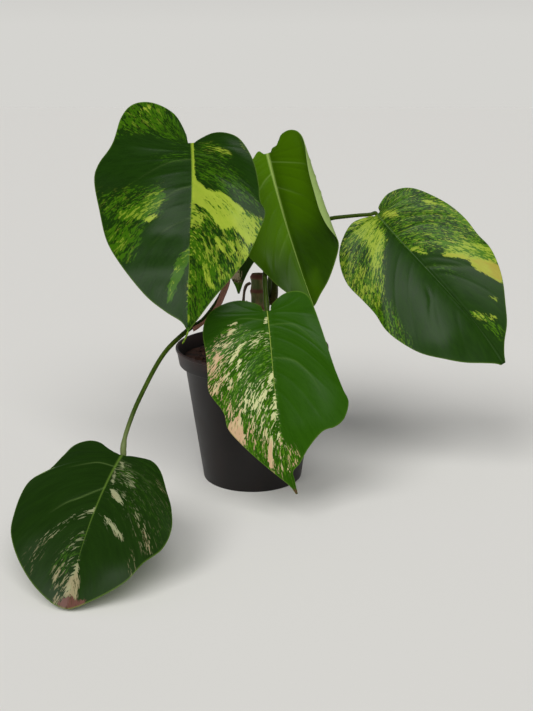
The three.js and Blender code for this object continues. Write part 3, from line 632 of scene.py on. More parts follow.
def leafMaterial(name, changes):
    look = {**leafLook, **changes}
    material, add = newMaterial(name)
    vein, lines, tones = (add("ShaderNodeAttribute", {"attribute_name": key}).outputs
                          for key in ("veinPlace", "lines", "tones"))
    line = add("ShaderNodeSeparateColor", {}, {"Color": lines["Color"]}).outputs
    share = add("ShaderNodeSeparateColor", {}, {"Color": tones["Color"]}).outputs

    def streaks(long, wide, detail, shift):  # cells drawn out along the side veins, their size in mm
        drawn = {"Scale": (1 / long, 1 / wide, 1), "Location": (look["shift"] + shift, shift, shift)}
        place = add("ShaderNodeMapping", drawn, {"Vector": vein["Vector"]}).outputs[0]
        noise = {"Scale": 1, "Detail": detail, "Roughness": 0.62}
        return add("ShaderNodeTexNoise", noise, {"Vector": place}).outputs

    fine = streaks(look["streakLong"], look["streakWide"], 2, 3.1)
    broad = streaks(look["streakLong"] * 2.8, look["streakWide"] * 3.2, 3, 17.7)
    cells = streaks(1.6, 0.7, 2, 5.5)  # the skin's own cells, drawn as coarse as they need to show
    blend = add("ShaderNodeMix", {"data_type": "RGBA", "Factor": 0.38}, {6: fine["Color"], 7: broad["Color"]})
    chance = add("ShaderNodeSeparateColor", {}, {"Color": blend.outputs[2]}).outputs

    def cover(amount, draw, soft=0.07):  # where a tone lies, so that the amount is its share of the leaf
        spread = {"interpolation_type": "SMOOTHSTEP", "From Min": 0.395, "From Max": 0.605}
        even = add("ShaderNodeMapRange", spread, {"Value": draw}).outputs[0]
        reach = add("ShaderNodeMath", {"operation": "MULTIPLY_ADD", 1: 1 + 2 * soft}, {0: amount, 2: even})
        limits = {"From Min": 1, "From Max": 1 + 2 * soft}
        return add("ShaderNodeMapRange", limits, {"Value": reach.outputs[0]}).outputs[0]

    def thinned(amount, draw):  # a sparse tone also shows fainter, as only some of the cells below are pale
        faint = {"To Min": look["thinShow"], "To Max": 1}
        show = add("ShaderNodeMapRange", faint, {"Value": amount}).outputs[0]
        return add("ShaderNodeMath", {"operation": "MULTIPLY"}, {0: cover(amount, draw), 1: show}).outputs[0]

    nearEdge = add("ShaderNodeMath", {"operation": "MULTIPLY_ADD", 1: -0.5},
                   {0: lines["Alpha"], 2: broad["Fac"]})
    pinkLimits = {"From Min": look["pinkFrom"], "From Max": look["pinkFrom"] + look["pinkSoft"]}
    pinkShare = add("ShaderNodeMapRange", pinkLimits, {"Value": nearEdge.outputs[0]}).outputs[0]
    ribLimits = {"From Min": look["ribFrom"], "From Max": look["ribFull"], "To Max": look["ribShare"]}
    edgeLimits = {"From Max": look["edgeWide"], "To Min": look["edgeShare"], "To Max": 0}
    veinAmount, underAmount = (
        add("ShaderNodeMath", {"operation": "MULTIPLY", 1: look[key]}, {0: part}).outputs[0]
        for key, part in (("veinShare", line[1]), ("underShare", line[2])))
    ground = coated(add, look["deep"], [(look["green"], broad["Fac"])])
    # Where the mid tone is laid smoothly instead of in streaks, it is painted light and shade.
    colour = coated(add, ground, (
        (look["mid"], share[0] if look["midAsPaintedLight"] else cover(share[0], chance[0], 0.14)),
        (coated(add, look["lime"], [(look["limeWarm"], broad["Fac"])]), thinned(share[1], chance[1])),
        (coated(add, look["cream"], [(look["creamPink"], pinkShare)]), thinned(share[2], chance[2])),
        (look["brown"], cover(tones["Alpha"], chance[0], 0.1)),
        (look["vein"], veinAmount),
        (look["rib"], add("ShaderNodeMapRange", ribLimits, {"Value": line[0]}).outputs[0]),
        (look["edge"], add("ShaderNodeMapRange", edgeLimits, {"Value": lines["Alpha"]}).outputs[0]),
        (look["under"], underAmount)))
    roughLimits = {"To Min": look["rough"], "To Max": look["underRough"]}
    rough = add("ShaderNodeMapRange", roughLimits, {"Value": line[2]})
    rougher = add("ShaderNodeMath", {"operation": "MULTIPLY_ADD", 1: 0.12},
                  {0: broad["Fac"], 2: rough.outputs[0]})
    height = add("ShaderNodeMath", {"operation": "MULTIPLY_ADD", 1: 0.6},
                 {0: cells["Fac"], 2: broad["Fac"]})
    bump = add("ShaderNodeBump", {"Strength": 0.35, "Distance": 0.12 * mm}, {"Height": height.outputs[0]})
    skin = add("ShaderNodeBsdfPrincipled", {"Specular IOR Level": look["gloss"], "IOR": 1.45},
               {"Base Color": colour, "Roughness": rougher.outputs[0], "Normal": bump.outputs[0]})
    lit = add("ShaderNodeBsdfTranslucent", {}, {"Color": colour, "Normal": bump.outputs[0]})
    mixed = add("ShaderNodeMixShader", {"Fac": look["through"]}, {1: skin.outputs[0], 2: lit.outputs[0]})
    add("ShaderNodeOutputMaterial", {}, {"Surface": mixed.outputs[0]})
    return material


# Where each blade is marbled, patch over patch: the share of the surface that each tone takes there, how
# softly the patch ends in mm, and its outline as (out from the midrib, along it), left of it negative. On the
# young upper middle blade the patches are not marbling but painted light and shade.
leafMarks = {
    "upper_left": (
        ({"mid": 0.45, "lime": 0.02}, 5, (
            (-3, -2), (-9, -20), (-20, -34), (-44, -36), (-60, -28), (-66, -8), (-54, -10), (-40, -11),
            (-26, -7), (-12, -2))),
        ({"mid": 0.62, "lime": 0.1}, 5, (
            (-20, -26), (-32, -30), (-46, -29), (-54, -22), (-58, -14), (-44, -11), (-30, -12),
            (-20, -18))),
        ({"lime": 0.75}, 1.6, ((-28, -27), (-31, -29), (-37, -29), (-36, -27), (-31, -25))),
        ({"mid": 0.24}, 6, ((-2, 2), (-14, 4), (-30, 10), (-22, 14), (-8, 12), (-2, 10))),
        ({"mid": 0.4, "lime": 0.07}, 7, (
            (-24, 30), (-34, 34), (-50, 32), (-66, 34), (-80, 34), (-80, 46), (-72, 54), (-56, 58),
            (-40, 60), (-26, 54), (-20, 40))),
        ({"mid": 0.85, "lime": 0.3}, 5, (
            (-23, 35), (-32, 38), (-42, 44), (-58, 50), (-58, 56), (-48, 60), (-34, 58), (-26, 50),
            (-22, 42))),
        ({"lime": 0.96}, 1.5, ((-26, 53), (-27, 57), (-31, 60), (-37, 60), (-34, 57))),
        ({"lime": 0.8}, 1.5, ((-28, 49), (-33, 50.5), (-38, 53), (-34, 51.5))),
        ({"mid": 0.5, "lime": 0.05}, 3, (
            (-36, 61), (-48, 59), (-60, 60), (-70, 60), (-72, 66), (-66, 76), (-58, 88), (-47, 93),
            (-41, 84), (-38, 72))),
        ({"mid": 0.7, "lime": 0.14}, 4, ((-50, 62), (-60, 64), (-66, 72), (-58, 82), (-52, 80), (-48, 72))),
        ({"mid": 1, "lime": 0.04}, 1, (
            (0, 78), (-6, 84), (-11, 92), (-14, 103), (-16, 113), (-15, 122), (-12, 119), (-8, 109),
            (-4, 97), (0, 90))),
        ({"lime": 0.24}, 1.2, (
            (-1, 81), (-7, 86), (-11, 94), (-14, 106), (-15, 116), (-12, 112), (-9, 100), (-5, 90))),
        ({"mid": 0.36, "lime": 0.03}, 5, (
            (1, 4), (20, 8), (36, 22), (54, 46), (56, 54), (44, 48), (34, 41), (20, 36), (8, 28), (4, 20))),
        ({"mid": 0.5, "lime": 0.22}, 3, ((8, 1), (18, 1), (26, 5), (34, 13), (28, 13), (18, 8), (10, 6))),
        ({"lime": 0.7}, 1.4, ((21, 6), (24, 5), (30, 7), (34, 11), (30, 10), (24, 8))),
        ({"lime": 0.5}, 1, ((41, 1), (44, 5), (46, 10), (43, 7))),
        ({"mid": 0.5, "lime": 0.34}, 2.5, (
            (0, 46), (10, 50), (18, 58), (26, 68), (38, 70), (48, 70), (54, 62), (59, 62), (58, 74),
            (50, 91), (44, 99), (34, 109), (26, 113), (18, 98), (8, 84), (0, 74))),
        ({"mid": 1, "lime": 1}, 0.9, (
            (0, 22), (3, 25), (4.5, 28), (8, 31), (13, 35), (20, 38), (24, 38.5), (30, 41.5), (36, 47),
            (40, 50), (44, 54), (49, 59), (46, 63), (42, 67), (36, 69), (28, 69), (23, 64), (18, 57),
            (12, 51), (4, 46), (0, 45))),
        ({"lime": 0.86}, 4, ((12, 42), (22, 43), (32, 47), (38, 54), (36, 60), (26, 58), (16, 50))),
        ({"mid": 0.8, "lime": 0.8}, 2, (
            (44, 55), (50, 58), (54, 62), (57, 70), (54, 80), (50, 78), (47, 72), (40, 70), (40, 62))),
        ({"mid": 0.6, "lime": 0.5}, 2, ((50, 58), (58, 62), (58, 66), (54, 66))),
        ({"lime": 1}, 1.2, ((38, 67), (43, 69), (49, 74), (53, 81), (49, 82), (44, 76), (39, 71))),
        ({"lime": 0.85}, 1.6, ((43, 78), (47, 82), (51, 90), (47, 96), (44, 88), (42, 82))),
        ({"mid": 0.7, "lime": 0.72}, 2, (
            (0, 44), (5, 50), (11, 55), (17, 62), (15, 66), (9, 63), (4, 60), (0, 66))),
        ({"mid": 0.35, "lime": 0.12}, 2, (
            (11, 62), (17, 60), (24, 66), (31, 73), (26, 76), (32, 90), (38, 97), (32, 101), (25, 88),
            (18, 77), (11, 69))),
        ({"lime": 0.9}, 1.2, ((21, 72), (25, 75), (29, 81), (31, 87), (28, 87), (24, 81))),
        ({"lime": 0.8}, 1.4, ((33, 74), (37, 79), (41, 88), (38, 88), (34, 80))),
        ({"mid": 0.85, "lime": 0.3}, 2, (
            (0, 67), (5, 72), (11, 80), (18, 90), (26, 104), (27, 111), (20, 108), (12, 96), (7, 90),
            (0, 86))),
        ({"mid": 0.5, "lime": 0.07}, 4, ((0, 88), (8, 92), (28, 114), (20, 124), (8, 136), (0, 138))),
        ({"mid": 0.95, "lime": 0.4}, 1.6, ((1, 90), (5, 98), (7, 108), (4, 108), (1, 100))),
        ({"mid": 0.9, "lime": 0.72}, 1.2, ((12, 94), (16, 98), (22, 108), (24, 114), (20, 113), (14, 104))),
        ({"mid": 0.9, "lime": 0.5}, 1.2, ((0, 100), (2, 104), (1.6, 134), (0, 138), (-0.8, 120))),
        ({"mid": 1, "lime": 1}, 0.5, ((0, -1), (2.4, -1), (2.2, 10), (2.6, 22), (4, 27), (0, 30))),
    ),
    # Painted light and shade rather than marbling: lighter over the left half and toward the joint, darker
    # toward the tip.
    "upper_middle": (
        ({"mid": 0.55}, 18, ((-2, -20), (50, -20), (50, 52), (30, 60), (-2, 66))),
        ({"mid": 0.7}, 10, ((4, -12), (30, -14), (32, 34), (8, 42))),
        ({"mid": 0.5}, 8, ((-4, 102), (14, 98), (12, 126), (-4, 126))),
        ({"mid": 0.95}, 3, ((0, -20), (-60, -20), (-60, 140), (0, 140))),
        ({"mid": 0.12}, 18, ((0, 78), (-60, 78), (-60, 140), (0, 140))),
    ),
    "right": (
        ({"mid": 0.55, "lime": 0.33}, 2.5, (
            (0, -4), (-12, -10), (-24, -14), (-44, -5), (-60, 12), (-66, 30), (-66, 60), (-66, 66),
            (-54, 60), (-47, 58), (-38, 48), (-28, 38), (-18, 28), (-8, 20), (0, 8))),
        ({"mid": 0.3, "lime": 0.1}, 4, ((-29, 8), (-38, 8), (-41, 16), (-38, 26), (-30, 25), (-27, 16))),
        ({"mid": 0.6, "lime": 0.4}, 4, (
            (-38, 14), (-48, 14), (-54, 28), (-54, 46), (-46, 48), (-44, 36), (-38, 26))),
        ({"mid": 0.9, "lime": 0.74}, 1.8, (
            (-4, 2), (-14, -1), (-27, -1), (-25, 6), (-23, 11), (-25, 17), (-28, 22), (-31, 29),
            (-35, 35), (-28, 32), (-20, 26), (-12, 20), (-8, 16), (-7, 12), (-12, 9), (-7, 6))),
        ({"lime": 0.85}, 1.2, ((-7, -3), (-14, -5), (-20, -6), (-19, -4), (-12, -2))),
        ({"mid": 0.3, "lime": 0.1}, 2, ((-27, -10), (-44, -5), (-56, 8), (-48, 6), (-36, 0), (-27, -4))),
        ({"mid": 0.5, "lime": 0.08}, 2.5, (
            (-60, 44), (-52, 56), (-52, 70), (-54, 84), (-56, 98), (-64, 96), (-66, 70), (-66, 50))),
        ({"mid": 0.4, "lime": 0.07}, 4, (
            (-40, 54), (-50, 60), (-52, 84), (-54, 100), (-50, 96), (-47, 74))),
        ({"mid": 0.42, "lime": 0.11}, 3, (
            (0, 2), (4, -8), (17, -12), (34, -8), (48, 8), (56, 30), (58, 50), (56, 82), (47, 86),
            (38, 72), (30, 64), (20, 58), (10, 52), (5, 46), (0, 40))),
        ({"mid": 0.4, "lime": 0.08}, 3, ((0, 12), (8, 14), (12, 26), (10, 36), (0, 38))),
        ({"mid": 0.5, "lime": 0.17}, 4, (
            (8, 34), (20, 38), (34, 50), (48, 68), (50, 76), (36, 66), (20, 54), (8, 46))),
        ({"mid": 0.7, "lime": 0.32}, 3, (
            (22, 48), (32, 56), (42, 66), (46, 76), (40, 72), (30, 64), (22, 58))),
        ({"lime": 0.8, "cream": 0.4}, 2.4, ((3, 3), (8, 3), (13, 8), (12, 12), (9, 11), (5, 7))),
        ({"lime": 0.9}, 1.4, ((34, 16), (38, 18), (43, 27), (40, 26), (36, 21))),
        ({"mid": 0.9, "lime": 0.4}, 3, ((42, 20), (48, 34), (52, 60), (48, 60), (45, 40))),
        ({"mid": 0.8, "lime": 0.75}, 1.6, ((1, 40), (5, 41), (10, 51), (6, 50))),
        ({"mid": 1, "lime": 0.66}, 2, (
            (17, 59), (25, 60), (35, 64), (46, 74), (52, 86), (46, 94), (38, 84), (30, 74), (23, 67))),
        ({"mid": 1, "lime": 0.25}, 2, ((32, 70), (40, 74), (47, 84), (48, 92), (41, 86), (36, 78))),
        ({"lime": 1, "cream": 1}, 1, (
            (16, 60), (21, 61.5), (26, 67), (31.5, 76.5), (37, 82), (42, 89), (45, 95), (41, 103),
            (37, 107), (34, 100), (31, 92), (29, 87), (28, 82), (30, 78), (25, 71))),
        ({"mid": 0.22}, 4, ((6, 62), (14, 72), (20, 84), (12, 78), (6, 70))),
        ({"mid": 0.6, "lime": 0.55}, 1.6, ((2, 108), (6, 112), (10, 120), (14, 126), (8, 122), (3, 115))),
        ({"lime": 0.5}, 1.2, ((9, 117), (17, 123), (16, 126), (11, 121))),
        ({"lime": 0.6}, 1, ((22, 109), (26, 113), (24, 114))),
        ({"mid": 0.4}, 3, ((4, 124), (12, 124), (14, 138), (8, 142))),
    ),
    "lower_middle": (
        ({"mid": 0.34, "cream": 0.09}, 3, (
            (0, 14), (-10, 14), (-26, 8), (-36, 12), (-46, 22), (-56, 30), (-56, 52), (-52, 66),
            (-46, 76), (-46, 88), (-40, 98), (-22, 114), (-10, 126), (-4, 128), (0, 118))),
        ({"cream": 0.3}, 4, (
            (-30, 13), (-40, 18), (-46, 24), (-56, 30), (-56, 60), (-46, 62), (-38, 52), (-34, 40),
            (-30, 24))),
        ({"mid": 0.35, "cream": 0.03}, 3, (
            (0, 29), (-10, 30), (-18, 34), (-20, 44), (-14, 52), (-5, 48), (0, 42))),
        ({"cream": 0.22}, 3, ((-1, 18), (-8, 19), (-16, 22), (-16, 28), (-8, 28), (-1, 28))),
        ({"mid": 0.4, "cream": 0.08}, 3, ((-28, 46), (-38, 58), (-42, 68), (-34, 62), (-28, 54))),
        ({"cream": 0.95}, 0.9, ((-26, 12), (-28, 11), (-31, 12), (-34, 17), (-30, 16))),
        ({"cream": 0.85}, 0.8, ((-24, 6.5), (-27, 6.5), (-31, 8.5), (-26, 8.5))),
        ({"cream": 0.8}, 0.9, (
            (-19, 22), (-23, 24), (-28, 29), (-34, 38), (-32, 38), (-26, 31), (-21, 26))),
        ({"cream": 0.85}, 1.2, ((-40, 30), (-43, 33), (-46, 40), (-49, 48), (-46, 46), (-42, 38))),
        ({"cream": 0.95}, 0.7, ((-24.5, 34.5), (-26.5, 38), (-29, 43), (-27, 43), (-24, 37))),
        ({"cream": 0.8}, 1.2, ((-40, 51), (-46, 54), (-51, 58), (-48, 61), (-43, 57))),
        ({"cream": 0.6}, 1.2, ((-32, 46), (-35, 50), (-37, 58), (-34, 57), (-32, 52))),
        ({"cream": 0.5}, 1.4, ((-23, 44), (-27, 47), (-28, 52), (-24, 50))),
        ({"cream": 0.24}, 3, (
            (0, 50), (-8, 52), (-20, 58), (-32, 68), (-38, 82), (-30, 80), (-16, 72), (-4, 62))),
        ({"cream": 0.95}, 0.8, ((0, 46), (-2, 48), (-6, 55), (-7, 57), (-4, 55), (0, 51))),
        ({"cream": 0.9}, 1, (
            (-3, 59.5), (-9, 61), (-13, 65), (-19, 72), (-25, 80), (-22, 79), (-16, 72), (-9, 66))),
        ({"cream": 0.8}, 1.2, ((-14, 62), (-18, 64), (-23, 70), (-20, 71), (-16, 67))),
        ({"cream": 0.75}, 1.2, ((-22, 64), (-26, 66), (-28, 70), (-24, 70))),
        ({"cream": 0.55}, 1.4, ((-34, 64), (-37, 68), (-39, 76), (-36, 76))),
        ({"cream": 0.9}, 1.2, ((-26, 70), (-30, 76), (-36, 80), (-40, 84), (-37, 85), (-31, 80))),
        ({"cream": 0.95}, 1.4, (
            (-29, 79), (-34, 82), (-41, 87), (-36, 95), (-32, 101), (-28, 97), (-28, 88))),
        ({"mid": 0.36, "cream": 0.25}, 3, (
            (-20, 76), (-12, 72), (-2, 70), (0, 100), (-10, 104), (-20, 96), (-24, 86))),
        ({"cream": 0.7}, 1.4, ((-23, 85), (-26, 89), (-28, 96), (-25, 94))),
        ({"cream": 1}, 0.7, (
            (-6.5, 95), (-9.5, 96), (-12, 103), (-14, 111), (-14, 117), (-11.5, 117), (-10, 110),
            (-7.5, 102))),
        ({"cream": 0.85}, 1.4, ((0, 60), (-2, 68), (-5, 76), (-6.5, 83), (-3, 83), (0, 76))),
        ({"cream": 0.8}, 0.8, ((0, 5), (-2.5, 5), (-4, 10), (-1.5, 9.5))),
        ({"mid": 0.36, "cream": 0.24}, 2, ((0, 104), (-4, 106), (-5, 120), (0, 124))),
        ({"mid": 0.4, "cream": 0.26}, 2, ((0, 102), (8, 105), (12, 114), (6, 121), (0, 123))),
        ({"brown": 1}, 2, ((-4, 137), (4, 137), (4, 144), (-4, 144))),
    ),
    "lower_left": (
        ({"mid": 0.1, "cream": 0.04}, 5, (
            (2, 6), (12, 10), (30, 14), (46, 26), (60, 48), (62, 62), (56, 84), (44, 80), (34, 66),
            (22, 54), (10, 44), (2, 38))),
        ({"mid": 0.12}, 5, ((2, 2), (30, 4), (46, 28), (40, 30), (20, 14))),
        ({"mid": 0.3, "cream": 0.24}, 3, ((2, 6), (10, 10), (20, 22), (22, 32), (12, 30), (4, 20))),
        ({"cream": 0.97}, 1, ((5, 33), (8, 32.5), (13, 37), (17, 42), (20, 46), (15, 45), (9, 40))),
        ({"cream": 0.25}, 2, ((10, 33), (16, 36), (24, 44), (20, 44))),
        ({"cream": 0.2}, 2, ((3, 53), (10, 56), (20, 62), (30, 75), (22, 72), (12, 63))),
        ({"cream": 0.9}, 0.9, ((8, 56), (15, 60), (21, 65), (29, 74.5), (25, 73), (19, 67), (12, 61))),
        ({"cream": 0.8}, 1, ((2, 7), (5, 8), (8, 14), (6, 13))),
        ({"cream": 0.75}, 1, ((1, 14), (4, 20), (6, 29), (3, 26))),
        ({"cream": 0.6}, 1.6, ((16, 25), (21, 26), (22, 30), (18, 30))),
        ({"cream": 0.3}, 1.4, ((33, 18), (40, 24), (46, 32), (41, 29))),
        ({"cream": 0.26}, 1.6, ((24, 42), (31, 50), (42, 64), (40, 66), (32, 57))),
        ({"cream": 0.5, "brown": 0.12}, 1.4, ((38, 60), (43, 66), (50, 81), (47, 81), (42, 73))),
        ({"cream": 0.14}, 2, ((32, 62), (38, 70), (46, 82), (44, 82), (36, 74))),
        ({"cream": 0.14}, 3, ((34, 80), (41, 88), (42, 102), (37, 96))),
        ({"cream": 0.75}, 1.2, ((0, 49), (-3, 52), (-8, 56), (-4, 56), (0, 54))),
        ({"cream": 0.3}, 3, ((-4, 54), (-12, 56), (-14, 62), (-6, 60))),
        ({"cream": 0.24}, 2, ((-13, 62), (-20, 69), (-30, 80), (-30, 84), (-24, 82), (-18, 74))),
        ({"cream": 0.5}, 1, ((-16, 64), (-20, 70), (-24, 78), (-22, 78), (-18, 70))),
        ({"cream": 0.1}, 4, ((-28, 80), (-36, 90), (-34, 106), (-28, 104), (-24, 90))),
        ({"mid": 0.3, "cream": 0.14}, 4, ((-1, 64), (-10, 78), (-16, 96), (-14, 112), (-6, 106), (-1, 90))),
        ({"cream": 0.85}, 1, ((-10, 98), (-13, 103), (-12, 109), (-10, 105))),
        ({"cream": 0.4}, 2, ((0, 90), (-4, 97), (-9, 108), (-11, 122), (-6, 122), (0, 114))),
        ({"cream": 0.92}, 1.2, ((0, 92), (3, 99), (6, 110), (6, 118), (0, 118), (-4, 118), (-3, 108))),
        ({"cream": 0, "brown": 0.95}, 1.4, (
            (-6, 121), (-4, 117), (-1, 115.5), (2, 116), (5, 118), (9, 119), (13, 118.5), (11, 124),
            (0, 132), (-6, 128))),
    ),
    "rear": (
        ({"mid": 0.9}, 2, ((-4, 92), (8, 92), (3, 104), (-2, 104))),
        ({"mid": 0.5, "cream": 0.92}, 1.6, (
            (-1, 82), (4, 79), (13, 79), (13, 87), (8, 91.5), (0, 91.5), (-2, 87))),
        ({"cream": 0.5, "brown": 0.6}, 0.9, ((-3, 90.6), (8, 90.6), (7, 93), (-3, 93))),
    ),
}

leafSeeds = {name: 11 + 7 * k for k, name in enumerate(leaves)}
leafFinish = {
    "upper_left": ("marbled_lime_leaf", "leaf_lime_marbled", {
        "shift": 1.3, "deep": "#122905", "green": "#1f3f06", "mid": "#386106", "rib": "#86a22e",
        "ribShare": 0.7, "streakLong": 4.4, "streakWide": 0.84, "thinShow": 0.35, "gloss": 0.09}),
    # Its smooth mid tone over a darker ground is painted light and shade.
    "upper_middle": ("young_leaf_painted_light", "leaf_young", {
        "shift": 9.1, "deep": "#203904", "green": "#2b4a04", "mid": "#4c7403", "midAsPaintedLight": True,
        "rib": "#aec76c", "ribFrom": 0.08, "ribFull": 0.66, "ribShare": 0.75, "vein": "#a3bd6c",
        "under": "#93aa64", "underShare": 0.9, "rough": 0.24, "gloss": 0.1}),
    "right": ("marbled_lime_leaf_right", "leaf_lime_marbled", {
        "shift": 4.9, "cream": "#a0a736", "creamPink": "#a09534", "pinkFrom": 0.22, "rib": "#4f6a3c",
        "ribShare": 0.25, "thinShow": 0.6, "rough": 0.3, "gloss": 0.15}),
    "lower_middle": ("marbled_cream_leaf", "leaf_cream_marbled", {
        "shift": 6.3, "deep": "#224703", "green": "#2c5505", "mid": "#487510", "cream": "#c9cb94",
        "creamPink": "#c3a27e", "pinkFrom": 0.1, "rib": "#a4b44e", "ribFrom": 0.68, "ribFull": 0.95,
        "streakLong": 4.4, "thinShow": 0.9, "gloss": 0.09}),
    "lower_left": ("marbled_cream_leaf_low", "leaf_cream_marbled", {
        "shift": 2.2, "deep": "#122704", "green": "#1d3905", "mid": "#30530c", "cream": "#9b9f78",
        "creamPink": "#9c926e", "brown": "#68453b", "rib": "#6b8a34", "ribFrom": 0.3, "ribShare": 0.6,
        "streakLong": 5.5, "streakWide": 0.8, "rough": 0.26, "gloss": 0.16}),
    # The rear blade is seen from below, and its dark underside colour is painted shade.
    "rear": ("rear_leaf_painted_shade", "leaf_lime_marbled", {
        "shift": 7.7, "cream": "#c9c4a0", "creamPink": "#c9b594", "under": "#283a14", "underShare": 0.35,
        "underRough": 0.7}),
}
for name, leaf in leaves.items():
    materialName, slotName, changes = leafFinish[name]
    piece = makeBlade(name, leaf, leafMarks[name], leafSeeds[name])
    settle(piece, f"leaf_blade_{name}", leafMaterial(materialName, changes))
print("blades made")


# Stalks

shoot = {
    "way": ((6, 1, 136), (10.5, 3.5, 148), (15, 7, 162), (18.4, 9.6, 180), (19.6, 10.6, 200),
            (20.6, 11, 214), (21.4, 10.6, 226)),
    "steps": 200, "radius": 4.2,
}

# foot is the height on the shoot and the side it leaves from, in degrees round from +X.
stalks = {
    "upper_left": {"foot": (192, 248), "behind": True, "way": (
        (15.5, 0, 211), (9, -4, 228), (-5, -11, 247), (-20, -21, 264), (-32, -31, 275.5),
        (-39.5, -38, 280.5))},
    "upper_middle": {"foot": (201, 312), "behind": True, "way": (
        (26, 3, 222), (26, 1, 240), (22, -6, 257), (18.5, -15, 269), (16, -22.5, 274))},
    "right": {"foot": (172, 10), "behind": False, "swell": 0, "taper": 0.5, "way": (
        (30, 12, 192), (38, 11, 204), (50, 8, 214.6), (64, 5, 220.6), (76, 3, 222.6),
        (88, 1, 224.1), (96, 0.4, 224.8))},
    "lower_middle": {"foot": (150, 306), "behind": False, "taper": 0.15, "way": (
        (18.5, -8, 172), (15.6, -20, 187), (13, -33, 193), (11.2, -46, 189), (10.8, -57, 180))},
    "lower_left": {"foot": (180, 200), "behind": False, "swell": 0.6, "taper": 0.28, "way": (
        (9, 5, 197), (1, -3, 208), (-11, -11, 204), (-18.5, -16, 188), (-23, -20.5, 166),
        (-36.8, -40, 148.4), (-50, -55, 142), (-66.9, -80, 129.3), (-82, -110, 104.7),
        (-89.8, -128, 86), (-91.8, -136, 76))},
    "rear": {"foot": (184, 110), "behind": True, "way": (
        (14, 21, 202), (7, 25, 219), (-2, 29.5, 232), (-7, 34, 237))},
}
stalkForm = {
    "radius": 2, "foot": 1.3, "swell": 0.35, "taper": 0.25, "stub": 1.6, "gap": 0.3, "bladeThick": 1,
    "sides": 28, "step": 0.8, "channel": 0.3, "channelAt": 4.7, "wrinkle": 0.06, "sink": 0.9, "knee": 16,
}


def shootRadius(share):
    return shoot["radius"] * (1 - 0.25 * share) * (1 - 0.85 * smoothStep((share - 0.86) / 0.14))


shootLine = evenWalk(splineThrough(shoot["way"]), np.linspace(0, 1, shoot["steps"] + 1))


def footPoints(foot):  # a stalk lies against the shoot for its first few millimetres
    height, side = foot
    turn = math.radians(side)
    points = []
    for rise in (0, 7):
        k = int(np.argmax(shootLine[:, 2] >= height + rise))
        reach = shootRadius(k / shoot["steps"]) + stalkForm["radius"] + stalkForm["foot"]
        reach += 1.5 * stalkForm["gap"]
        points.append(shootLine[k] + np.array([reach * math.cos(turn), reach * math.sin(turn), 0]))
    return points


def stalkLine(name):
    stalk, leaf = stalks[name], leaves[name]
    midrib = midribOf(leaf)
    joint, normal, cross = (a[0] for a in frameAlong(leaf, midrib, np.array([0.0])))
    tangent = midrib["way"][0]
    if stalk["behind"]:
        end = joint + tangent * stalkForm["radius"]
        end = end - normal * (stalkForm["bladeThick"] / 2 + blade["ribDepth"] + stalkForm["gap"])
        before, last = end - normal * stalkForm["stub"], end + normal * stalkForm["sink"]
    else:
        end = joint - tangent * stalkForm["gap"]
        end = end + normal * (stalkForm["bladeThick"] / 2 - stalkForm["radius"])
        before, last = end - tangent * stalkForm["stub"], end + tangent * stalkForm["sink"]
    line = splineThrough([*footPoints(stalk["foot"]), *stalk["way"], before, end])
    line = np.vstack([line, last[None]])
    count = int(runOf(line)[-1] / stalkForm["step"])
    return evenWalk(line, np.linspace(0, 1, count + 1))


def makeStalk(name, material):
    line = stalkLine(name)
    length = runOf(line)[-1]
    form = {**stalkForm, **{key: stalks[name][key] for key in ("swell", "taper") if key in stalks[name]}}

    def radiusAt(run, turn):
        left = length - run
        foot = stalkForm["foot"] * (1 - smoothStep((run - 5) / 30))
        swell = form["swell"] * smoothStep((form["knee"] - left) / 6) * smoothStep(left / 5)
        taper = form["taper"] * smoothStep((run - 30) / (length - 45))
        wrinkle = form["wrinkle"] * smoothStep((form["knee"] - left) / 4) * smoothStep(left / 3)
        channel = form["channel"] * np.exp(-((turn - form["channelAt"]) / 0.45) ** 2)
        radius = form["radius"] + foot + swell - taper + wrinkle * np.sin(run * 4.3)
        return (radius - channel * smoothStep(left / 18)) * (1 - 0.3 * smoothStep((1.2 - left) / 1.2))

    points, faces, places = tube(line, radiusAt, form["sides"])
    piece = meshPiece(f"leaf_stalk_{name}_fine", points, faces, {"rodPlace": places}, sharp=70)
    settle(piece, f"leaf_stalk_{name}", material)


# Leaf stalk: firm green tissue under a thin cuticle, so satin, with long fibres and pale flecks, both
# drawn as coarse as they need to show.
stalkFoot = ("#4b3a22", ("x", 26, 4, 0.75))
stalkKnee = ("#8a9463", ("z", 0.86, 0.96, 0.4))  # paler toward the blade, on the low stalk only
stalkFlecks = ("#9aa65e", ("flecks", 0.62, 0.72, 0.25))
stalkLook = {
    "place": "rodPlace",
    "patterns": {"fibres": ((14, 0.6, 0), 4, 0.6), "flecks": ((2.2, 0.9, 0), 2, 0.5)},
    "ground": ("#203403", "#415410", ("fibres", 0.38, 0.68)), "coats": (stalkFoot, stalkFlecks),
    "bump": ("fibres", 0.4, 0.15), "skin": {"Roughness": 0.4, "IOR": 1.45, "Specular IOR Level": 0.12},
}
stalkSkin = surfaceMaterial("satin_leaf_stalk", stalkLook)
paleKneed = surfaceMaterial("satin_leaf_stalk_pale_knee", {
    **stalkLook, "coats": (stalkFoot, stalkKnee, stalkFlecks)})
for name in stalks:
    makeStalk(name, paleKneed if name == "lower_left" else stalkSkin)
print("stalks made")


# Stem: the old cane with its ring scars and cut top, the green shoot and a small bud

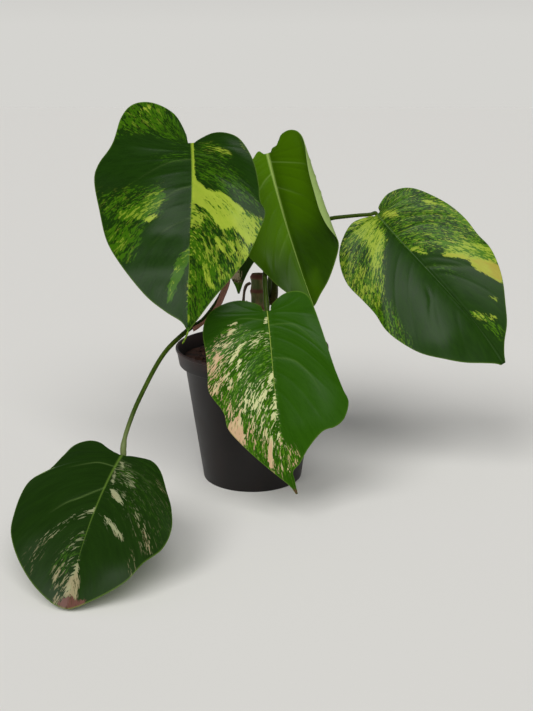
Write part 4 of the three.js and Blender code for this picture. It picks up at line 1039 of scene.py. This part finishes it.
cane = {
    "root": (5, 0, 60), "top": 176, "radius": 5.4, "wobble": 0.25, "swell": 0.9,
    "rings": (34.8, 60.9, 87, 101.5, 113.1), "sides": 56, "rows": 220, "striae": 0.1,
    "pith": ((0.88, 0.05), (0.8, -0.5), (0.55, -0.9), (0.25, -1.1)),  # share of the radius, height
    "pithMiddle": -1.2,
    "bud": {"way": ((3, -1, 148), (-2, -3, 150.5), (-4.6, -4, 154)), "steps": 24, "radius": 2.2, "sides": 20},
    "shootNodes": ((42, 0.35, 1.6), (63, 0.3, 1.4)), "shootSides": 40,
}
# The third value of a place tells the cut (above 1), the shoot and the bud from the cane.
cutMark, shootMark, budMark = 1.1, 2, 4


def makeStem():
    low, tall = np.array(cane["root"], float), cane["top"] - cane["root"][2]
    straight = low + np.linspace(0, 1, cane["rows"] + 1)[:, None] * np.array([0, 0, tall])

    def caneRadius(run, turn):
        ring = sum(np.exp(-((run - at) / 2.4) ** 2) for at in cane["rings"])
        scar = sum(np.exp(-((run - at - 1.4) / 0.5) ** 2) for at in cane["rings"])
        cut = 0.7 * smoothStep((run - tall + 2) / 2)
        wobble = cane["wobble"] * np.sin(3 * turn + run / 20)
        striae = np.sin(17 * turn + 0.4 * np.sin(run / 6)) + 0.6 * np.sin(29 * turn + run / 9)
        return cane["radius"] + cane["swell"] * ring - 0.35 * scar - cut + wobble + cane["striae"] * striae

    points, faces, places = tube(straight, caneRadius, cane["sides"], closedTop=False)
    last = np.arange(cane["rows"] * cane["sides"], (cane["rows"] + 1) * cane["sides"])
    centre = np.array([*low[:2], cane["top"]])
    rim, around = points[last], places[last, 1]
    for share, dip in cane["pith"]:
        inner = centre + (rim - centre) * share + np.array([0, 0, dip])
        inner[:, 2] += 0.12 * np.sin(np.arange(len(inner)) * 2.4 + share * 9)
        now = len(points) + np.arange(len(inner))
        points = np.vstack([points, inner])
        places = np.vstack([places, [(tall, at * share, cutMark) for at in around]])
        faces += np.stack([last, np.roll(last, -1), np.roll(now, -1), now], -1).tolist()
        last = now
    faces += fan(len(points), last)
    points = np.vstack([points, [centre + np.array([0, 0, cane["pithMiddle"]])]])
    places = np.vstack([places, [[tall, 0, cutMark]]])

    shootLong = runOf(shootLine)[-1]

    def shootSurface(run, turn):
        nodes = sum(height * np.exp(-((run - at) / wide) ** 2) for at, height, wide in cane["shootNodes"])
        return shootRadius(run / shootLong) + nodes + 0.05 * np.sin(15 * turn + run / 7)

    shootTube = tube(shootLine, shootSurface, cane["shootSides"])
    bud = cane["bud"]
    budLine = evenWalk(splineThrough(bud["way"]), np.linspace(0, 1, bud["steps"] + 1))
    budLong = runOf(budLine)[-1]
    budTube = tube(budLine, lambda run, turn: bud["radius"] * (1 - 0.8 * (run / budLong) ** 2), bud["sides"])
    for rod, mark in ((shootTube, shootMark), (budTube, budMark)):
        rod[2][:, 2] += mark
    points, faces, places = joined([(points, faces, places), shootTube, budTube])
    piece = meshPiece("stem_fine", points, faces, {"rodPlace": places}, sharp=50)
    settle(piece, "stem", surfaceMaterial("corky_cane", stemLook))


# Cane: corky old stem with a dry cut, so matt and finely split lengthwise, greener between its rings.
# The coats are splits, ring scars, the rim of the cut, pith, the green shoot and the bud.
stemLook = {
    "place": "rodPlace", "patterns": {"cracks": ((9, 0.8, 0), 5, 0.65), "patches": ((16, 9, 0), 2, 0.5)},
    "ground": ("#8c7850", "#5f6c38", ("patches", 0.4, 0.6)),
    "coats": (
        ("#3a301e", ("cracks", 0.5, 0.3, 0.6)),
        *[("#7a4036", ("x", 2.4, 0.8, 0.85, at + 0.8)) for at in cane["rings"]],
        ("#6b3a31", ("x", 112.6, 115.4, 0.9)),
        ("#8d7b5a", ("z", 1.05, cutMark, 0.88)), ("#4c6a26", ("z", 1.6, 1.9, 0.88)),
        ("#6a4a34", ("z", 3.6, 3.9, 0.88))),
    "bump": ("cracks", 0.8, 0.4), "skin": {"Roughness": 0.72, "IOR": 1.45},
}
makeStem()
print("stem made")


# Aerial roots

roots = {
    "left": ((-1.4, 1, 168), (-5, 2, 165), (-6.8, 3, 157), (-7.5, 3, 142), (-9, 4, 122), (-9, 4, 112),
             (-9, 4, 90)),
    "rear": ((4.7, 6.4, 150), (4.2, 9.6, 149), (3, 13, 145), (3, 15, 136), (6, 17, 120), (6, 17, 112),
             (6, 17, 90)),
    "right": ((11.4, -1, 128), (14.5, -2, 124), (16, -3, 116), (16, -3, 112), (16, -3, 90)),
}
rootForm = {"radius": 1.2, "knob": 0.12, "ripple": 0.05, "sides": 20, "step": 0.5}

# Aerial root: a dry velamen skin, so chalky, with short cross cracks.
rootSkin = surfaceMaterial("dry_root_skin", {
    "place": "rodPlace", "patterns": {"cracks": ((1.1, 2.4, 0), 4, 0.5)},
    "ground": ("#3a2b22", "#8a7360", ("cracks", 0.32, 0.66)),
    "bump": ("cracks", 0.7, 0.3), "skin": {"Roughness": 0.85},
})
for name, way in roots.items():
    line = splineThrough(way)
    length = runOf(line)[-1]
    line = evenWalk(line, np.linspace(0, 1, int(length / rootForm["step"]) + 1))
    points, faces, places = tube(line, lambda run, turn: rootForm["radius"] * (
        1 + rootForm["knob"] * np.sin(31 * run / length) + rootForm["ripple"] * np.sin(5 * turn + run)),
        rootForm["sides"])
    piece = meshPiece(f"aerial_root_{name}_fine", points, faces, {"rodPlace": places}, sharp=60)
    settle(piece, f"aerial_root_{name}", rootSkin)
print("roots made")


# Dry sheath: a papery gutter round the front of the lower left stalk's root end

sheath = {
    "start": 0.17, "end": 0.52, "wall": 0.45, "clear": 0.85, "wide": 125, "narrow": 34,
    "rows": 130, "sides": 36, "back": (0.5, -0.8, -0.2), "fray": 0.9, "placeLong": 70, "placeWide": 9,
}


def makeSheath():
    rows, sides = sheath["rows"], sheath["sides"]
    step = np.linspace(0, 1, rows + 1)
    line = evenWalk(stalkLine("lower_left"), sheath["start"] + (sheath["end"] - sheath["start"]) * step)
    way = unit(np.gradient(line, axis=0))
    draw = random.Random(5)
    fray = np.cumsum([draw.uniform(-1, 1) for k in step])
    fray = (fray - np.linspace(fray[0], fray[-1], len(fray))) * sheath["fray"]
    back = np.array(sheath["back"])
    back = unit(back - (way @ back)[:, None] * way)
    side = np.cross(way, back)
    step, across = step[:, None], np.linspace(0, 1, sides + 1)
    half = sheath["wide"] + (sheath["narrow"] - sheath["wide"]) * smoothStep((step - 0.25) / 0.5)
    turn = np.radians((2 * across - 1) * (half + fray[:, None] * np.where(across > 0.5, 1, -0.8)))
    lip = np.abs(across - 0.5) * 2
    flare = 0.5 * np.sin(34 * step) + 0.4
    crinkle = 0.12 * np.sin(9 * math.pi * across + 11 * step) + 0.1 * np.sin(50 * step + 3 * across)
    reach = stalkForm["radius"] + sheath["clear"] + flare * lip ** 3 + crinkle
    spoke = back[:, None] * np.cos(turn)[..., None] + side[:, None] * np.sin(turn)[..., None]
    points = np.concatenate([(line[:, None] + spoke * (reach + wall)[..., None]).reshape(-1, 3)
                             for wall in (sheath["wall"], 0)])
    place = np.stack(np.broadcast_arrays(
        step * sheath["placeLong"], (across - 0.5) * sheath["placeWide"], lip), -1).reshape(-1, 3)
    faces, topCount = shellFaces(rows + 1, sides + 1)
    first = faces[topCount // 2]
    a, b, c, below = points[[*first[:3], first[0] + len(place)]]
    if np.cross(b - a, c - a) @ (a - below) < 0:
        faces = faces[:, ::-1]
    piece = meshPiece("dry_sheath_fine", points, faces, {"rodPlace": np.vstack([place, place])}, sharp=60)
    settle(piece, "dry_sheath", surfaceMaterial("papery_dead_sheath", sheathLook))


# Sheath: dead papery tissue, matt and fibrous lengthwise, paler where it has worn thin.
sheathLook = {
    "place": "rodPlace",
    "patterns": {"fibres": ((16, 0.5, 0), 5, 0.65), "patches": ((10, 4, 0), 3, 0.5)},
    "ground": ("#7c4537", "#c8907c", ("fibres", 0.3, 0.7)),
    "coats": (("#8c6a53", ("patches", 0.5, 0.62, 0.6)),),
    "bump": ("fibres", 0.7, 0.3), "skin": {"Roughness": 0.78},
}
makeSheath()
print("sheath made")


# Pot

pot = {
    "height": 115, "base": 42, "neck": 56.5, "lip": 61.5, "rim": 64, "lipHeight": 14, "wall": 1.8,
    "floor": 2.2,
    "sides": 160, "drains": 8, "drainRadius": 4.5, "drainCircle": 29, "drainSides": 32, "corner": 0.7,
}
potShoulder = pot["height"] - pot["lipHeight"]
lipInside = pot["lip"] - pot["wall"]


def potInside(height):
    return pot["base"] + (pot["neck"] - pot["base"]) * height / potShoulder - pot["wall"]


def lathe(profile, sides):  # a profile of (radius, height) turned about Z; it starts and ends on the axis
    profile = np.array(profile, float)
    turn = np.arange(sides) * 2 * math.pi / sides
    inner = profile[1:-1]
    points = np.stack([inner[:, :1] * np.cos(turn), inner[:, :1] * np.sin(turn),
                       np.repeat(inner[:, 1:], sides, 1)], -1).reshape(-1, 3)
    faces, index = ringFaces(len(inner), sides)
    for centre, ring in ((profile[0], index[0][::-1]), (profile[-1], index[-1])):
        faces += fan(len(points), ring)
        points = np.vstack([points, [[0, 0, centre[1]]]])
    return points, faces


def rounded(profile, radius, steps=4):  # each corner of a profile turned into a small arc
    profile = np.array(profile, float)
    out = [profile[0]]
    for a, b, c in zip(profile[:-2], profile[1:-1], profile[2:]):
        reach = min(radius, 0.45 * np.linalg.norm(a - b), 0.45 * np.linalg.norm(c - b))
        start, end = b + unit(a - b) * reach, b + unit(c - b) * reach
        t = np.linspace(0, 1, steps + 1)[:, None]
        out += list((1 - t) ** 2 * start + 2 * t * (1 - t) * b + t ** 2 * end)
    return [*out, profile[-1]]


def makePot():
    profile = rounded((
        (0, 0), (pot["base"], 0), (pot["neck"] - 0.15, potShoulder - 1),
        (pot["lip"] - 0.4, potShoulder - 0.2), (pot["rim"] - 0.9, pot["height"] - 2.6),
        (pot["rim"], pot["height"] - 2.2), (pot["rim"], pot["height"]),
        (pot["rim"] - pot["wall"], pot["height"]), (lipInside, potShoulder + pot["wall"]),
        (potInside(potShoulder - 2), potShoulder - 1.4), (potInside(pot["floor"]), pot["floor"]),
        (0, pot["floor"])), pot["corner"])
    points, faces = lathe(profile, pot["sides"])
    piece = meshPiece("pot_fine", points, faces)
    hole, holeFaces = lathe([(0, -1), (pot["drainRadius"], -1), (pot["drainRadius"], 4), (0, 4)],
                            pot["drainSides"])
    for k in range(pot["drains"]):
        turn = 2 * math.pi * (k + 0.5) / pot["drains"]
        centre = np.array([pot["drainCircle"] * math.cos(turn), pot["drainCircle"] * math.sin(turn), 0])
        drill = meshPiece("drill", hole + centre, holeFaces)
        cut = piece.modifiers.new("drain", "BOOLEAN")
        cut.object, cut.operation, cut.solver = drill, "DIFFERENCE", "EXACT"
        bpy.context.view_layer.objects.active = piece
        bpy.ops.object.modifier_apply(modifier=cut.name)
        bpy.data.objects.remove(drill)
    piece.data.shade_smooth()
    piece.data.set_sharp_from_angle(angle=math.radians(35))
    settle(piece, "pot", surfaceMaterial("moulded_dark_plastic", potLook))


# Pot: thin moulded polypropylene, near black brown and satin, with dust and fine scuffs, drawn coarse
# enough to show. From this height in metres the lip's top is painted redder in patches of the dust: partly
# a painted highlight along the rim, partly the mix's stain.
potLook = {
    "place": "Object",
    "patterns": {"dust": ((22.22,) * 3, 5, 0.65), "scuffs": ((2.381, 2.381, 19.84), 2, 0.5)},
    "ground": ("#0e0908", "#241815", ("dust", 0.46, 0.75, 0.35)),
    # The redder band at the lip's top is partly a painted highlight along the rim, partly the mix's stain.
    "coats": (("#40231d", ("z", 0.104, 0.116, 0.8), ("dust", 0.36, 0.58)),),
    "bump": ("scuffs", 0.25, 0.1), "roughBy": ("dust", 0.38, 0.6),
    "skin": {"IOR": 1.49, "Specular IOR Level": 0.35},
}
makePot()
print("pot made")


# Potting mix: coarse bark chips on a filled body, with finer bits between them

mix = {
    "level": 104, "clear": 0.5, "gap": 0.3, "sides": 180, "rings": 60, "crumbSize": 9,
    "chips": 64, "chipLong": 13, "reach": 50, "chipSteps": 9, "chipRough": 0.55,
    "bits": 150, "bitReach": 56, "bitSteps": 4, "bitRough": 0.25,
}


def seededRandom(seed):  # the same draws as the solid's own chips
    state = seed
    while True:
        state = (state * 1664525 + 1013904223) % 4294967296
        yield state / 4294967296


def turned(*turns):  # one turn after another, each an axis and an angle
    total = np.eye(3)
    for axis, angle in turns:
        total = np.array(Matrix.Rotation(angle, 3, axis)) @ total
    return total


cornerSigns = ((1, 1, 1), (1, 1, -1), (1, -1, 1), (1, -1, -1), (-1, 1, -1), (-1, 1, 1), (-1, -1, -1),
               (-1, -1, 1))


def cubeGrid(steps):  # the surface of a cube from -1 to 1 as a welded grid
    index, points, faces = {}, [], []

    def corner(p):
        key = tuple(int(round(x * steps)) for x in p)
        if key not in index:
            index[key] = len(points)
            points.append(p)
        return index[key]

    ticks = np.linspace(-1, 1, steps + 1)
    for axis in range(3):
        for sign in (-1, 1):
            for a, a2 in zip(ticks[:-1], ticks[1:]):
                for b, b2 in zip(ticks[:-1], ticks[1:]):
                    quad = []
                    for x, y in ((a, b), (a2, b), (a2, b2), (a, b2)):
                        p = [0, 0, 0]
                        p[axis], p[(axis + 1) % 3], p[(axis + 2) % 3] = sign, x, y
                        quad.append(corner(tuple(p)))
                    faces.append(quad if sign > 0 else quad[::-1])
    return np.array(points), faces


def barkChip(corners, steps, rough, seed):  # a chip between eight corners, its edges worn and its faces split
    cube, faces = cubeGrid(steps)
    soft = cube / np.linalg.norm(np.abs(cube) ** 6, axis=1, ord=1)[:, None] ** (1 / 6)
    weights = np.stack([np.prod((1 + np.array(sign) * soft) / 2, axis=1) for sign in cornerSigns], -1)
    points = weights @ corners
    out = unit(points - corners.mean(0))
    drift = np.random.default_rng(seed).uniform(0, 50, 3)
    long = np.array([1, 3.2, 3.2])
    wear = np.zeros(len(points))
    for size, height in ((1.3, 0.5), (3.1, 0.28), (6.5, 0.14)):
        p = cube * long * size * 0.5 + drift
        split = np.sin(p[:, 0] + 1.7 * np.sin(p[:, 1]))
        wear += height * split * np.sin(p[:, 2] * 1.3 + np.sin(p[:, 0] * 0.8))
    return points + out * (wear * rough)[:, None], faces, cube


def makeMix():
    rng = seededRandom(7)
    draw = lambda: next(rng)
    level, bottom = mix["level"], pot["floor"] + mix["gap"]
    outer = lipInside - mix["clear"]
    profile = [(0, bottom), (potInside(bottom) - mix["clear"], bottom),
               (potInside(potShoulder - 2) - mix["clear"], potShoulder - 1),
               (outer - mix["clear"], potShoulder + pot["wall"] + mix["clear"]),
               *[(outer * (1 - k / mix["rings"]), level) for k in range(mix["rings"])], (0, level)]
    points, faces = lathe(profile, mix["sides"])
    x, y, z = points.T
    crumb = 0.5 * np.sin(0.9 * x + 2 * np.sin(0.35 * y)) * np.sin(0.8 * y + 1)
    crumb += 0.35 * np.sin(2.3 * x + y) * np.sin(2.1 * y - 0.7 * x)
    crumb += 0.2 * np.sin(5.1 * x) * np.sin(4.7 * y + x)
    rise = crumb * smoothStep((outer - np.hypot(x, y)) / 3) - 0.3
    points[:, 2] += np.where(z > level - 0.01, rise, 0)
    parts = [(points, faces, points / mix["crumbSize"])]

    def addChip(half, corners, spin, ring, turn, height, steps, rough, seed, shift):
        place = np.array([ring * math.cos(turn), ring * math.sin(turn), height])
        chipPoints, chipFaces, cube = barkChip(corners @ spin.T + place, steps, rough, seed)
        parts.append((chipPoints, chipFaces, cube * half + shift))

    for i in range(mix["chips"]):
        ring = mix["reach"] * math.sqrt((i + 0.5) / mix["chips"])
        turn = math.pi * (3 - math.sqrt(5)) * i + 0.5 * draw()
        long = mix["chipLong"] * (0.6 + 0.5 * draw())
        half = np.array([long, long * (0.45 + 0.3 * draw()), 4 + 4 * draw()]) / 2
        corners = np.array([[sign * size * (0.78 + 0.3 * draw()) for sign, size in zip(signs, half)]
                            for signs in cornerSigns])
        spin = turned(("X", 0.5 * (draw() - 0.5)), ("Y", 0.5 * (draw() - 0.5)), ("Z", 2 * math.pi * draw()))
        addChip(half, corners, spin, ring, turn, level - 1 + 2.4 * draw(),
                mix["chipSteps"], mix["chipRough"], i, i * 7.3)
    small = random.Random(19)
    for i in range(mix["bits"]):
        ring = mix["bitReach"] * math.sqrt(small.random())
        turn = small.uniform(0, 2 * math.pi)
        half = np.array([small.uniform(1.2, 3), small.uniform(0.7, 1.6), small.uniform(0.4, 0.9)])
        z, x, y = (small.uniform(*span) for span in ((0, 6.3), (-0.6, 0.6), (-0.6, 0.6)))
        addChip(half, np.array(cornerSigns) * half, turned(("Y", y), ("X", x), ("Z", z)), ring, turn,
                level + small.uniform(-0.2, 1.2), mix["bitSteps"], mix["bitRough"], 500 + i, i * 5.1)
    points, faces, places = joined(parts)
    piece = meshPiece("potting_mix_fine", points, faces, {"chipPlace": places}, sharp=50)
    settle(piece, "potting_mix", surfaceMaterial("broken_bark", barkLook))


# Bark: broken and dull, in layers, dark in its splits and redder on fresh faces.
barkLook = {
    "place": "chipPlace",
    "patterns": {"layers": ((8, 1.6, 1.2), 6, 0.65), "broad": ((11.111,) * 3, 1, 0.5)},
    "ground": ("#140b07", "#6c412d", ("layers", 0.34, 0.68)),
    "coats": (("#8c6a58", ("broad", 0.4, 0.6, 0.65)),), "blend": "MULTIPLY",
    "bump": ("layers", 0.9, 0.6), "skin": {"Roughness": 0.9},
}
makeMix()
print("mix made")


# Floor and light

stage = {
    "floorHalf": 6000, "floor": "#e2e0db", "backdrop": "#d5d4d0", "overhead": "#6a6b6e", "front": "#8a8b8b",
}
# Two soft boxes high in front: compass bearing from straight ahead (left negative), height and width
# in degrees, and strength.
softBoxes = {"left": (-28, 43, 28, 1.58), "right": (12, 44, 32, 1.58)}


def makeStage():
    half = stage["floorHalf"]
    floor = meshPiece("floor", [(-half, -half, 0), (half, -half, 0), (half, half, 0), (-half, half, 0)],
                      [(0, 1, 2, 3)])
    material, add = newMaterial("matt_pale_board")
    skin = add("ShaderNodeBsdfPrincipled", {"Base Color": linear(stage["floor"]), "Roughness": 0.9})
    add("ShaderNodeOutputMaterial", {}, {"Surface": skin.outputs[0]})
    floor.data.materials.append(material)
    # A pale backdrop behind, and a dimmer room overhead and in front.
    world = bpy.data.worlds.new("studio")
    world.use_nodes = True
    add = lambda *node: addNode(world.node_tree, *node)
    way = add("ShaderNodeTexCoord").outputs["Generated"]
    parts = add("ShaderNodeSeparateXYZ", {}, {"Vector": way}).outputs
    height = add("ShaderNodeMapRange", {"From Min": 0.02, "From Max": 0.4}, {"Value": parts["Z"]}).outputs[0]
    front = add("ShaderNodeMapRange", {"From Min": 0.1, "From Max": -0.5}, {"Value": parts["Y"]}).outputs[0]
    room = coated(add, stage["backdrop"], ((stage["overhead"], height), (stage["front"], front)))
    world.node_tree.links.new(room, world.node_tree.nodes["Background"].inputs["Color"])
    bpy.context.scene.world = world
    for name, (bearing, height, wide, energy) in softBoxes.items():
        sun = bpy.data.lights.new(f"soft_box_{name}", "SUN")
        sun.energy, sun.angle = energy, math.radians(wide)
        lamp = bpy.data.objects.new(f"soft_box_{name}", sun)
        bpy.context.scene.collection.objects.link(lamp)
        a, b = math.radians(bearing), math.radians(height)
        way = Vector((-math.sin(a) * math.cos(b), math.cos(a) * math.cos(b), -math.sin(b)))
        lamp.rotation_mode = "QUATERNION"
        lamp.rotation_quaternion = way.to_track_quat("-Z", "Y")
    bpy.context.scene.view_settings.view_transform = "Standard"


makeStage()
